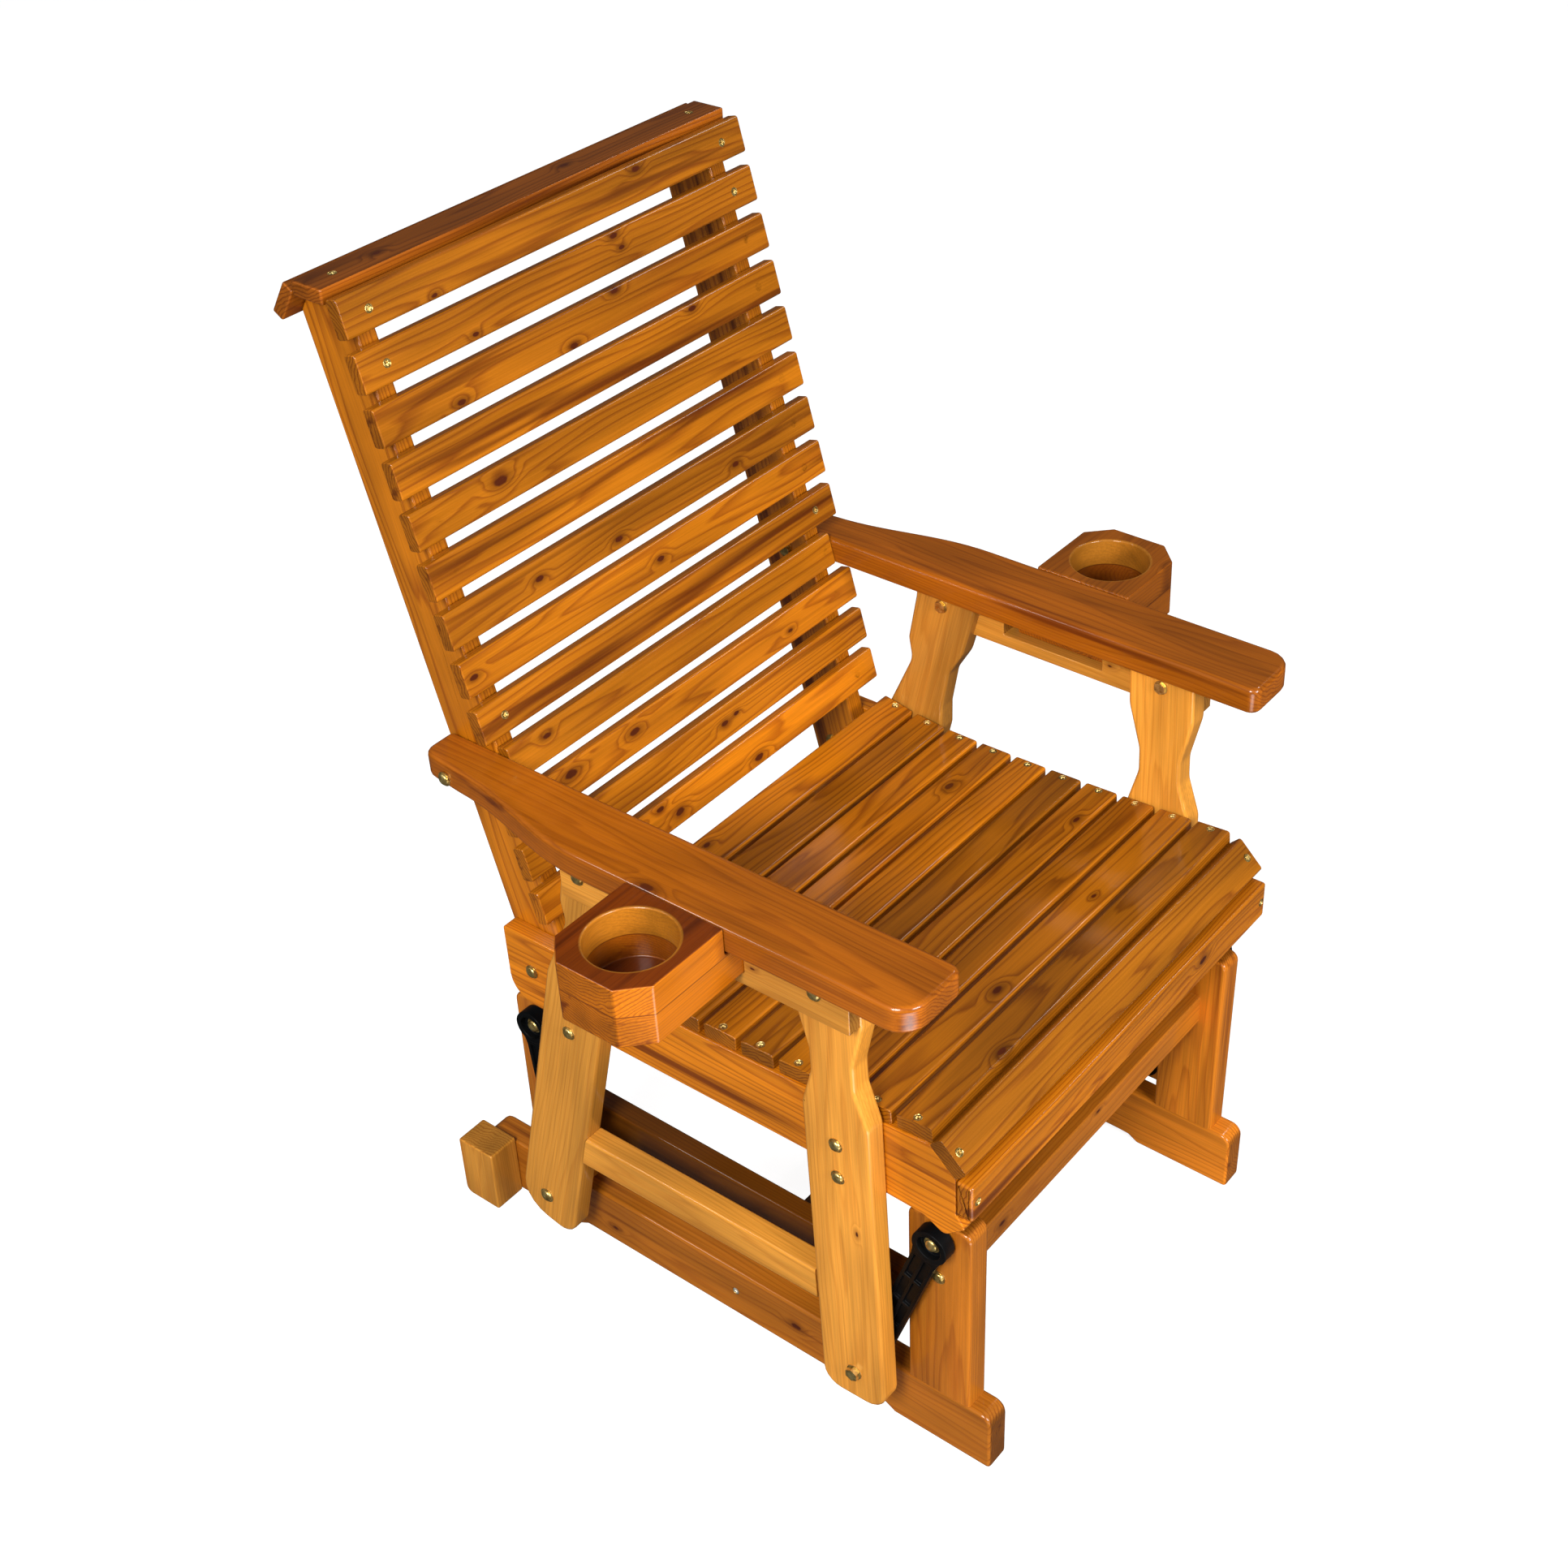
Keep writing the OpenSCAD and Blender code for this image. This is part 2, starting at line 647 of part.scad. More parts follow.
rear_post_stations = [
    [rear_post_foot, post_w, rear_post_lean, 0.26 * post_w, 0.49 * post_w],
    [rear_line(level(-0.03)), post_w, 2, 0.23 * post_w, 0.31 * post_w],
    [rear_line(level(0.14)), 0.82 * post_w, 4, 0.34 * post_w, 0.34 * post_w],
    [rear_line(level(0.41)) - rear_head_ahead, post_waist_w, 4, 0.34 * post_w, 0.34 * post_w],
    [rear_line(level(0.57)) - rear_head_ahead, 0.95 * post_w, 0, 0.43 * post_w, 0.29 * post_w],
    [rear_line(level(0.89)) - rear_head_ahead, post_head_w, 0, 0.29 * post_w, 0.29 * post_w],
    [rear_line(armrest_under) - rear_head_ahead / 3, post_head_w, 0, 0, 0]];

rail_bolt_levels = [seat_rail_z + rail_bolt_z, seat_rail_z + rail_bolt_z + rail_bolt_gap];
front_rail_bolts = [for (z = rail_bolt_levels) front_line(z)];
rear_rail_bolts = [for (z = rail_bolt_levels) rear_line(z)];
arm_rail_bolts = [front_line(arm_rail_z + arm_bolt_z), rear_line(arm_rail_z + arm_bolt_z)];

module post(stations, pin, bolts) {
    difference() {
        side_board(seat_half, post_t) polygon(rounded(post_outline(stations)));
        arm_rail_blank();
        rod_x(seat_half - 1, post_t + 2, pin, pivot_r + fastener_gap);
        for (at = bolts) rod_x(seat_half - 1, post_t + 2, at, bolt_r + fastener_gap);
    }
}

module front_post(side) {
    color(HONEY) hang_seat() on_side(side)
        post(front_post_stations, front_pin, concat(front_rail_bolts, [arm_rail_bolts[0]]));
}

module rear_post(side) {
    color(HONEY) hang_seat() on_side(side)
        post(rear_post_stations, rear_pin, concat(rear_rail_bolts, [arm_rail_bolts[1]]));
}

module side_stretchers() {
    front_low = station_rear(front_post_stations[0]);
    front_high = station_rear(front_post_stations[1]);
    rear_low = station_front(rear_post_stations[0]);
    rear_high = station_front(rear_post_stations[1]);
    top = stretcher_z + stretcher_h;
    color(HONEY) hang_seat() for (side = SIDES) on_side(side)
        side_board(seat_half, post_t) polygon([
            at_height(front_low, front_high, stretcher_z) + [slack, 0],
            at_height(rear_low, rear_high, stretcher_z) - [slack, 0],
            at_height(rear_low, rear_high, top) - [slack, 0],
            at_height(front_low, front_high, top) + [slack, 0]]);
}

// ============================ Seat ============================

// Height of the rails' dished top edge
function dish(y) =
    let (r = y < dish_y ? dish_front_r : dish_rear_r)
    dish_z + r - sqrt(r ^ 2 - (y - dish_y) ^ 2);
// Ends of the flat beds that carry the slats, from the rear
function bed_end(i) = let (y = seat_bed_rear - i * seat_pitch) [y, dish(y)];
function bed_middle(i) = (bed_end(i) + bed_end(i + 1)) / 2;
function bed_slope(i) =
    let (run = bed_end(i) - bed_end(i + 1))
    atan(run.y / run.x);

// The roll slat meets the lower front edge of the last flat slat
last_slat = seat_slat_count - 1;
roll_bed_start = bed_middle(last_slat)
    - turned([slat_w / 2 - 0.6 * slat_edge_r, 0], bed_slope(last_slat));
roll_bed_end = roll_bed_start - turned([slat_w, 0], roll_slope);
roll_bed_middle = (roll_bed_start + roll_bed_end) / 2;
apron_back = roll_bed_end.x;
apron_z = roll_bed_end.y - apron_step - apron_h;
nose_y = apron_back - 0.55 * apron_t;
nose_z = seat_rail_z - nose_drop;

function seat_rail_outline() = concat(
    [[[seat_rail_rear, seat_rail_z], 28],
     [[seat_rail_rear, bed_end(0).y], 3]],
    [for (i = [0:last_slat]) [bed_end(i), 0]],
    [[roll_bed_start, 0],
     [roll_bed_end, 0],
     [[apron_back, apron_z], 0],
     [[nose_y, seat_rail_z + 4], 3],
     [[apron_back + 0.7 * apron_t, nose_z], 8],
     [[apron_back + 1.9 * apron_t, seat_rail_z - rail_fall], 10],
     [[front_pin.x, seat_rail_z], 0]]);

module seat_rail(side) {
    color(HONEY) hang_seat() on_side(side) difference() {
        side_board(seat_rail_inner, seat_rail_t) polygon(rounded(seat_rail_outline()));
        for (at = concat(front_rail_bolts, rear_rail_bolts, [stile_bolt]))
            rod_x(seat_rail_inner - 1, seat_rail_t + 2, at, bolt_r + fastener_gap);
        seat_screw_places(fastener_gap);
    }
}

// A slat across the seat, drawn with its underside on Y = 0 and its edges eased
module slat_profile(width, thickness) {
    r = slat_edge_r;
    translate([-width / 2 + r, 0]) square([width - 2 * r, thickness]);
    translate([-width / 2, r]) square([width, thickness - 2 * r]);
    for (y = [-1, 1], z = [r, thickness - r])
        translate([y * (width / 2 - r), z]) circle(r = r, $fn = 32);
}

module across_at(middle, slope, half) {
    translate([0, middle.x, middle.y]) rotate([slope, 0, 0])
        translate([-half, 0, 0]) rotate([90, 0, 90]) linear_extrude(2 * half) children();
}

module seat_slat(i) {
    color(i % 2 == 0 ? BROWN : AMBER) hang_seat() difference() {
        across_at(bed_middle(i), bed_slope(i), seat_half - seat_slat_short)
            slat_profile(slat_w, seat_slat_t);
        seat_screw_places(fastener_gap);
    }
}

module seat_roll_slat() {
    color(AMBER) hang_seat() difference() {
        across_at(roll_bed_middle, roll_slope, seat_half) slat_profile(slat_w, seat_slat_t);
        seat_screw_places(fastener_gap);
    }
}

module seat_apron() {
    color(BROWN) hang_seat() difference() {
        across_at([apron_back, apron_z + apron_h / 2], 90, seat_half)
            slat_profile(apron_h, apron_t);
        seat_screw_places(fastener_gap);
    }
}

// One screw at each end of every seat slat, in the middle of its rail
module seat_screw_at(middle, slope, thickness, gap) {
    for (side = SIDES)
        translate([side * (seat_half - seat_rail_t / 2), middle.x, middle.y])
            rotate([slope, 0, 0]) translate([0, 0, thickness])
                countersunk_screw(screw_len, gap);
}

module seat_screw_places(gap) {
    for (i = [0:seat_slat_count - 1])
        seat_screw_at(bed_middle(i), bed_slope(i), seat_slat_t, gap);
    seat_screw_at(roll_bed_middle, roll_slope, seat_slat_t, gap);
    seat_screw_at([apron_back, apron_z + apron_h / 2], 90, apron_t, gap);
}

// ============================ Back ============================

back_up = turned([0, 1], -back_lean);
back_rearward = turned([1, 0], -back_lean);
back_top = [back_top_y, back_top_z];
// The point that lies this far up from the top slat's middle and this deep behind its face
function on_back(up, depth) = back_top + back_up * up + back_rearward * depth;
back_low_z = bed_end(0).y + back_low_over;
back_pitch = (back_top_z - back_low_z) / cos(back_lean) / (back_slat_count - 1);
stile_front_depth = back_slat_t;
stile_rear_depth = back_slat_t + stile_depth;

// The point at height z, this deep behind the slats' front face
function back_line(depth, z) = at_height(on_back(0, depth), on_back(-1, depth), z);
cap_z = back_top_z + cap_over;
back_half = seat_half + back_slat_over;
cap_front = back_line(stile_front_depth, cap_z).x + cap_set_back;
stile_foot_z = seat_rail_z - stile_drop;
stile_foot_rear = back_line(stile_rear_depth, stile_foot_z);
stile_foot_front = stile_foot_rear - back_rearward * stile_depth;

// The leaning cap board lies on a bevel at the rear of the stile tops
bevel_dir = turned([0, -1], rear_cap_slope);
bevel_top = [cap_front + cap_depth + fastener_gap, cap_z + rear_cap_up];
function meet_depth(depth) =
    let (
        from = on_back(0, depth),
        reach = ((from - bevel_top) * back_rearward) / (bevel_dir * back_rearward)
    )
    bevel_top + bevel_dir * reach;
stile_bolt = back_line(stile_front_depth + 0.6 * stile_depth, seat_rail_z + stile_bolt_z);
armrest_bolt = back_line(stile_front_depth + stile_depth / 2,
    armrest_top - 0.64 * armrest_t);

module back_stile(side) {
    color(HONEY) hang_seat() on_side(side) difference() {
        side_board(stile_inner, stile_t) polygon(rounded([
            [stile_foot_front, 6],
            [stile_foot_rear, 10],
            [meet_depth(stile_rear_depth), 0],
            [bevel_top + bevel_dir * ((cap_z - bevel_top.y) / bevel_dir.y), 0],
            [back_line(stile_front_depth, cap_z), 2]]));
        rod_x(stile_inner - 1, stile_t + 2, stile_bolt, bolt_r + fastener_gap);
        rod_x(stile_inner - 1, stile_t + 2, armrest_bolt, bolt_r + fastener_gap);
        back_screw_places(fastener_gap);
    }
}

// A slat at the height of the armrests is cut short between them
armrest_mid_z = armrest_top - armrest_t / 2;
short_reach = (armrest_t + back_slat_w) / 2;
function is_short(i) = abs(on_back(-i * back_pitch, 0).y - armrest_mid_z) < short_reach;

module back_slat(i) {
    half = is_short(i) ? seat_rail_inner - 4 * fastener_gap : back_half;
    color(i % 3 == 1 ? BROWN : AMBER) hang_seat() difference() {
        across_at(on_back(-i * back_pitch, back_slat_t), 90 - back_lean, half)
            slat_profile(back_slat_w, back_slat_t);
        back_screw_places(fastener_gap);
    }
}

module cap_board() {
    color(BROWN) hang_seat() difference() {
        translate([-back_half, cap_front, cap_z]) cube([2 * back_half, cap_depth, cap_t]);
        back_screw_places(fastener_gap);
    }
}

module rear_cap_board() {
    middle = bevel_top + bevel_dir * rear_cap_w / 2;
    color(BROWN) hang_seat() across_at(middle, rear_cap_slope - 90, back_half)
        polygon([[-rear_cap_w / 2, 0], [rear_cap_w / 2, 0],
            [rear_cap_w / 2, rear_cap_t], [-rear_cap_w / 2, rear_cap_t]]);
}

module back_screw_places(gap) {
    for (side = SIDES) {
        for (i = [0:back_slat_count - 1])
            let (at = on_back(-i * back_pitch, 0))
            translate([side * (stile_inner + stile_t / 2), at.x, at.y])
                rotate([90 - back_lean, 0, 0]) countersunk_screw(screw_len, gap);
        translate([side * (stile_inner + stile_t / 2), cap_front + cap_depth / 2,
            cap_z + cap_t]) countersunk_screw(screw_len, gap);
    }
}

// ============================ Armrests and cup holders ============================

armrest_len = armrest_rear - armrest_front;
armrest_taper_end = [seat_rail_inner + 1.1 * armrest_rear_w,
    armrest_rear - 0.08 * armrest_len];
armrest_tip_r = 0.35 * armrest_rear_w;
armrest_tip = [seat_rail_inner + armrest_rear_w, armrest_rear - armrest_tip_r];
// Outer edge of the armrest, between its taper and its tip
function armrest_edge_at(y) = armrest_tip.x
    + (armrest_taper_end.x - armrest_tip.x) * (armrest_tip.y - y)
    / (armrest_tip.y - armrest_taper_end.y);

function armrest_plan() = concat(
    rounded([
        [[seat_rail_inner, armrest_rear], 0],
        [[seat_rail_inner, armrest_front], 11],
        [[armrest_outer, armrest_front], 26],
        [[armrest_outer, armrest_front + 0.1 * armrest_len], 0]]),
    smooth_curve([armrest_outer, armrest_rear - 0.39 * armrest_len],
        [armrest_outer, armrest_rear - 0.27 * armrest_len],
        armrest_taper_end + [0.1 * armrest_rear_w, -0.12 * armrest_len],
        armrest_taper_end, 14),
    smooth_curve(armrest_tip, armrest_tip + armrest_tip_r * [-0.07, 0.65],
        armrest_tip + armrest_tip_r * [-0.43, 1], armrest_tip + armrest_tip_r * [-1, 1], 5));

module armrest(side) {
    color(BROWN) hang_seat() on_side(side) difference() {
        translate([0, 0, armrest_under]) linear_extrude(armrest_t) polygon(armrest_plan());
        rod_x(seat_rail_inner - 1, armrest_w, armrest_bolt, bolt_r + fastener_gap);
    }
}

// The rail before its notch is cut, which is also the shape let into the posts
module arm_rail_blank() {
    translate([arm_rail_inner, arm_rail_front, arm_rail_z])
        cube([arm_rail_t, arm_rail_rear - arm_rail_front, arm_rail_h]);
}

module cup_tongue() {
    from_x = arm_rail_inner + tongue_set_in;
    translate([from_x, cup_y - cup_block_len / 2, cup_under])
        cube([armrest_outer - from_x + 1, cup_block_len, cup_lower_t]);
}

// The notch in an arm rail, open at the top, that takes the tongue
module cup_notch() {
    translate([arm_rail_inner - 1, cup_y - cup_block_len / 2 - fastener_gap, cup_under])
        cube([arm_rail_t + 2, cup_block_len + notch_over, cup_lower_t + 1]);
}

module arm_rail(side) {
    color(AMBER) hang_seat() on_side(side) difference() {
        arm_rail_blank();
        cup_notch();
        for (at = arm_rail_bolts)
            rod_x(arm_rail_inner - 1, arm_rail_t + 2, at, bolt_r + fastener_gap);
    }
}

// Two boards glued flat together: the lower one runs on under the armrest as a tongue
module cup_holder(side) {
    outer = armrest_outer + cup_block_out;
    low_y = cup_y - cup_block_len / 2;
    high_y = cup_y + cup_block_len / 2;
    color(HONEY) hang_seat() on_side(side) difference() {
        union() {
            translate([0, 0, cup_under]) linear_extrude(armrest_top - cup_under) polygon([
                [armrest_outer, low_y], [outer - cup_corner, low_y],
                [outer, low_y + cup_corner], [outer, high_y - cup_corner],
                [outer - cup_corner, high_y], [armrest_outer, high_y]]);
            cup_tongue();
        }
        translate([cup_x, cup_y, cup_under + cup_floor_t])
            cylinder(r = cup_r, h = armrest_top - cup_under, $fn = 96);
    }
}

// ============================ Seat fasteners ============================

module seat_bolts() {
    nut_floor = link_inner + link_recess - running_gap;
    color(ZINC) hang_seat() for (side = SIDES) on_side(side) {
        for (pin = [front_pin, rear_pin]) {
            rod_x(nut_floor - 5, post_outer - nut_floor + 6, pin, pivot_r);
            translate([nut_floor, pin.x, pin.y]) rotate([0, -90, 0])
                hex_head(pivot_head_r, bolt_head_h + 1);
            rod_x(seat_half - washer_t, washer_t, pin, link_head_d / 2 - 6);
            translate([post_outer, pin.x, pin.y]) rotate([0, 90, 0])
                if (pin == front_pin) hex_head(bolt_head_r + 1, bolt_head_h + 2);
                else pan_head(bolt_head_r + 1, bolt_head_h);
        }
        for (at = concat(front_rail_bolts, rear_rail_bolts))
            through_bolt(seat_rail_inner, post_outer, at, false);
        for (at = arm_rail_bolts) through_bolt(seat_half, arm_rail_outer, at, false);
        through_bolt(stile_inner, seat_half, stile_bolt, false);
        through_bolt(stile_inner, armrest_edge_at(armrest_bolt.x - bolt_head_r),
            armrest_bolt, false);
    }
}

module slat_screws() {
    color(ZINC) hang_seat() {
        seat_screw_places(0);
        back_screw_places(0);
    }
}

// ============================ Nodes ============================

runner(LEFT);  // runner_left
runner(RIGHT);  // runner_right
upright(LEFT, -1);  // front_upright_left
upright(RIGHT, -1);  // front_upright_right
upright(LEFT, 1);  // rear_upright_left
upright(RIGHT, 1);  // rear_upright_right
base_side_rails();
cross_rail(-1);  // front_cross_rail
cross_rail(1);  // rear_cross_rail
low_stretcher();
foot_blocks();
base_fasteners();
front_link(LEFT);  // front_link_left
front_link(RIGHT);  // front_link_right
rear_link(LEFT);  // rear_link_left
rear_link(RIGHT);  // rear_link_right
seat_rail(LEFT);  // seat_rail_left
seat_rail(RIGHT);  // seat_rail_right
front_post(LEFT);  // front_post_left
front_post(RIGHT);  // front_post_right
rear_post(LEFT);  // rear_post_left
rear_post(RIGHT);  // rear_post_right
side_stretchers();
seat_roll_slat();
seat_apron();
back_stile(LEFT);  // back_stile_left
back_stile(RIGHT);  // back_stile_right
cap_board();
rear_cap_board();
armrest(LEFT);  // armrest_left
armrest(RIGHT);  // armrest_right
arm_rail(LEFT);  // arm_rail_left
arm_rail(RIGHT);  // arm_rail_right
cup_holder(LEFT);  // cup_holder_left
cup_holder(RIGHT);  // cup_holder_right
seat_bolts();
slat_screws();
for (i = [0:seat_slat_count - 1])
    seat_slat(i);
for (i = [0:back_slat_count - 1])
    back_slat(i);
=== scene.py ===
"""Looks of a porch glider chair: eased and varnished timber, moulded links and plated fittings."""

import json
import logging
import math
import random
from abc import ABC, abstractmethod
from collections.abc import Callable, Iterable
from dataclasses import dataclass, field
from enum import Enum

import bmesh
import bpy
from bmesh.types import BMEdge, BMesh, BMFace, BMVert
from bpy.types import Material, NodeInputs, NodeSocket, NodeTree, Object
from mathutils import Matrix, Vector

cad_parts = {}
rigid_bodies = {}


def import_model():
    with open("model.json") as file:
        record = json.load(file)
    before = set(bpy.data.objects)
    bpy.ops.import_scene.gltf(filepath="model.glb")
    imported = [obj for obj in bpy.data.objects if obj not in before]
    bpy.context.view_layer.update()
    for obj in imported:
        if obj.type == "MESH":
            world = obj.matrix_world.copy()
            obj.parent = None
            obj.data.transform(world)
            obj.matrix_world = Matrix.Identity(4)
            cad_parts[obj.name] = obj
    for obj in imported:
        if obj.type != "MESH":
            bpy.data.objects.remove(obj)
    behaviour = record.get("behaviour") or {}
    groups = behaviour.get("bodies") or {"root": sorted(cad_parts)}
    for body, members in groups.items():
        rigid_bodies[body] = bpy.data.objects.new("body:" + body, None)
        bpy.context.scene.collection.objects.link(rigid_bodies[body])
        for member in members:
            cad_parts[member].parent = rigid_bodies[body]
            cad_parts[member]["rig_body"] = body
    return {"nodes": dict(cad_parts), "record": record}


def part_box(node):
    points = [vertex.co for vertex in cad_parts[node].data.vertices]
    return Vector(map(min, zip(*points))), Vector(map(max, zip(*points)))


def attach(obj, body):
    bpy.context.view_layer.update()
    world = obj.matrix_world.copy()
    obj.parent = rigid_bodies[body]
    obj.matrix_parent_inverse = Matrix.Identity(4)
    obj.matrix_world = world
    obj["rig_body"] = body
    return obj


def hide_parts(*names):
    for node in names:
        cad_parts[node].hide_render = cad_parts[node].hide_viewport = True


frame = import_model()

LOG = logging.getLogger("glider_chair")
MM = 0.001
MERGE_WITHIN = 2e-6  # metres
FLAT_WITHIN = math.radians(0.6)
SIDES = ("left", "right")
PLACES = ("front", "rear")
AXIS_X, AXIS_Y, AXIS_Z = Vector((1, 0, 0)), Vector((0, 1, 0)), Vector((0, 0, 1))

# How the seat's boards lean, in degrees
SEAT_TURN = -0.81  # the whole seat, to sit on its links
BACK_LEAN = 14.3
FRONT_POST_LEAN = 1.2
REAR_POST_LEAN = 13.8
ROLL_SLOPE = 45.0
REAR_CAP_SLOPE = 33.0

EdgeFilter = Callable[[Vector, Vector], bool]


# ---------- colours and nodes


def linear(hex_colour: str) -> tuple[float, float, float, float]:
    """Turns an sRGB hex colour into Blender's linear colour.

    Args:
        hex_colour: colour such as "#C87619".

    Returns:
        Linear red, green, blue and an alpha of 1.
    """
    channels = [int(hex_colour[i : i + 2], 16) / 255 for i in (1, 3, 5)]
    lin = [c / 12.92 if c <= 0.04045 else ((c + 0.055) / 1.055) ** 2.4 for c in channels]
    return (lin[0], lin[1], lin[2], 1.0)


def toned(hex_colour: str, tone: float) -> str:
    """Makes a colour lighter or darker.

    Args:
        hex_colour: sRGB hex colour.
        tone: factor on each channel, 1 leaves it as it is.

    Returns:
        The new sRGB hex colour.
    """
    channels = [int(hex_colour[i : i + 2], 16) for i in (1, 3, 5)]
    return "#" + "".join(f"{max(0, min(255, round(c * tone))):02X}" for c in channels)


class Kind(Enum):
    """Kinds of shader node: the type without its prefix, its settings and the output that is read."""

    COORDINATES = ("TexCoord", {}, "Object")
    MAPPING = ("Mapping", {}, "Vector")
    NOISE = ("TexNoise", {}, 0)
    RAMP = ("ValToRGB", {}, "Color")
    BLEND = ("Mix", {"data_type": "RGBA"}, 2)
    RANGE = ("MapRange", {}, 0)
    SMOOTH_STEP = ("MapRange", {"interpolation_type": "SMOOTHSTEP"}, 0)
    HEIGHT = ("SeparateXYZ", {}, "Z")
    ADD = ("Math", {"operation": "ADD"}, 0)
    SUBTRACT = ("Math", {"operation": "SUBTRACT"}, 0)
    MULTIPLY = ("Math", {"operation": "MULTIPLY"}, 0)
    MULTIPLY_ADD = ("Math", {"operation": "MULTIPLY_ADD"}, 0)
    DIVIDE = ("Math", {"operation": "DIVIDE"}, 0)
    ABSOLUTE = ("Math", {"operation": "ABSOLUTE"}, 0)
    FRACTION = ("Math", {"operation": "FRACT"}, 0)
    LARGER = ("Math", {"operation": "MAXIMUM"}, 0)
    VECTOR_SUBTRACT = ("VectorMath", {"operation": "SUBTRACT"}, "Vector")
    VECTOR_MULTIPLY = ("VectorMath", {"operation": "MULTIPLY"}, "Vector")
    VECTOR_MULTIPLY_ADD = ("VectorMath", {"operation": "MULTIPLY_ADD"}, "Vector")
    SCALE = ("VectorMath", {"operation": "SCALE"}, "Vector")
    DOT = ("VectorMath", {"operation": "DOT_PRODUCT"}, "Value")
    DISTANCE = ("VectorMath", {"operation": "DISTANCE"}, "Value")
    LENGTH = ("VectorMath", {"operation": "LENGTH"}, "Value")
    BUMP = ("Bump", {}, "Normal")
    CAMERA_RAY = ("LightPath", {}, "Is Camera Ray")
    GLOSSY_RAY = ("LightPath", {}, "Is Glossy Ray")
    SHADER = ("BsdfPrincipled", {}, "BSDF")
    BACKGROUND = ("Background", {}, "Background")
    SURFACE = ("OutputMaterial", {}, None)
    SURROUND = ("OutputWorld", {}, None)


@dataclass(frozen=True)
class Graph:
    """A node tree that is being drawn up."""

    tree: NodeTree

    def feed(self, socket: NodeSocket, value: object) -> None:
        """Links an output to a socket, or sets the socket to a value."""
        if isinstance(value, NodeSocket):
            self.tree.links.new(value, socket)
        else:
            socket.default_value = value

    def add(self, kind: Kind, *values: object, **named: object) -> NodeSocket:
        """Adds a node, sets it up and links it.

        Args:
            kind: the kind of node.
            values: values or outputs for its first inputs, in order.
            named: values or outputs for its other inputs, by their names in lower case.

        Returns:
            The output that the kind names, or the first input of a kind without one.
        """
        type_name, settings, output = kind.value
        node = self.tree.nodes.new(f"ShaderNode{type_name}")
        for key, value in settings.items():
            setattr(node, key, value)
        for socket, value in zip(node.inputs, values):
            self.feed(socket, value)
        for key, value in named.items():
            self.feed(next(s for s in node.inputs if s.enabled and s.name.lower() == key), value)
        return node.inputs[0] if output is None else node.outputs[output]


def set_stops(ramp: NodeSocket, stops: Iterable[tuple[float, str]]) -> None:
    """Sets the colours of a ramp.

    Args:
        ramp: the ramp's output.
        stops: places from 0 to 1 with their hex colours.
    """
    elements = ramp.node.color_ramp.elements
    for i, (place, colour) in enumerate(stops):
        element = elements[i] if i < len(elements) else elements.new(place)
        element.position = place
        element.color = linear(colour)


def new_material(name: str) -> tuple[Material, Graph, NodeInputs]:
    """Makes an empty material with a Principled shader.

    Args:
        name: the material's name.

    Returns:
        The material, its graph and its shader's inputs.
    """
    material = bpy.data.materials.new(name)
    material.use_nodes = True
    graph = Graph(material.node_tree)
    graph.tree.nodes.clear()
    shader = graph.add(Kind.SHADER)
    graph.add(Kind.SURFACE, shader)
    return material, graph, shader.node.inputs


# ---------- how a board lies


def leaning(degrees_back: float) -> Vector:
    """Upward direction that leans rearward by this angle, on the seat's own frame."""
    angle = math.radians(degrees_back - SEAT_TURN)
    return Vector((0, math.sin(angle), math.cos(angle)))


class Lie(Enum):
    """Directions of a board: along its grain, and across the face that is seen most."""

    ACROSS_FLAT = (AXIS_X, AXIS_Y)
    ACROSS_UPRIGHT = (AXIS_X, AXIS_Z)
    ACROSS_BACK = (AXIS_X, leaning(BACK_LEAN))
    ACROSS_ROLL = (AXIS_X, leaning(90 - ROLL_SLOPE))
    ACROSS_REAR_CAP = (AXIS_X, leaning(-REAR_CAP_SLOPE))
    RUNNING_FLAT = (AXIS_Y, AXIS_X)
    RUNNING_UPRIGHT = (AXIS_Y, AXIS_Z)
    STANDING = (AXIS_Z, AXIS_Y)
    FRONT_POST = (leaning(FRONT_POST_LEAN), AXIS_Y)
    REAR_POST = (leaning(-REAR_POST_LEAN), AXIS_Y)
    STILE = (leaning(BACK_LEAN), AXIS_Y)

    def axes(self) -> Matrix:
        """Rotation from the chair's frame to the board's own: along, across, through."""
        along, across = (v.normalized() for v in self.value)
        through = along.cross(across).normalized()
        across = through.cross(along)
        return Matrix((along, across, through))


# ---------- finishes


@dataclass(frozen=True)
class Knot:
    """A knot in a board, in millimetres from the middle of the board."""

    along: float
    across: float
    radius: float


@dataclass(frozen=True)
class Bore:
    """An upright round hole, in metres. Its wall is drawn golden in the upper layer and dark in the lower one
    and on its floor: partly the two layers' own tones, partly painted light from above and painted shade
    deeper in the hole.
    """

    x: float
    y: float
    radius: float
    upper: str = "#A66C20"
    lower: str = "#71350B"
    strength: float = 0.66


@dataclass(frozen=True)
class Noise:
    """A layer of noise: the size of its features in millimetres along, across and through a board."""

    along: float
    across: float
    through: float
    detail: float
    shift: float  # which part of the noise it takes, so that two layers differ

    def draw(self, graph: Graph, board: NodeSocket, seed: Vector) -> NodeSocket:
        """Adds the layer to a graph.

        Args:
            graph: the graph.
            board: the place on the board, in metres.
            seed: the board's own shift.

        Returns:
            The noise, from 0 to 1.
        """
        scale = [1 / (size * MM) for size in (self.along, self.across, self.through)]
        at = graph.add(Kind.MAPPING, board, seed + Vector((self.shift,) * 3), scale=scale)
        return graph.add(Kind.NOISE, vector=at, scale=1.0, detail=self.detail, roughness=0.55)


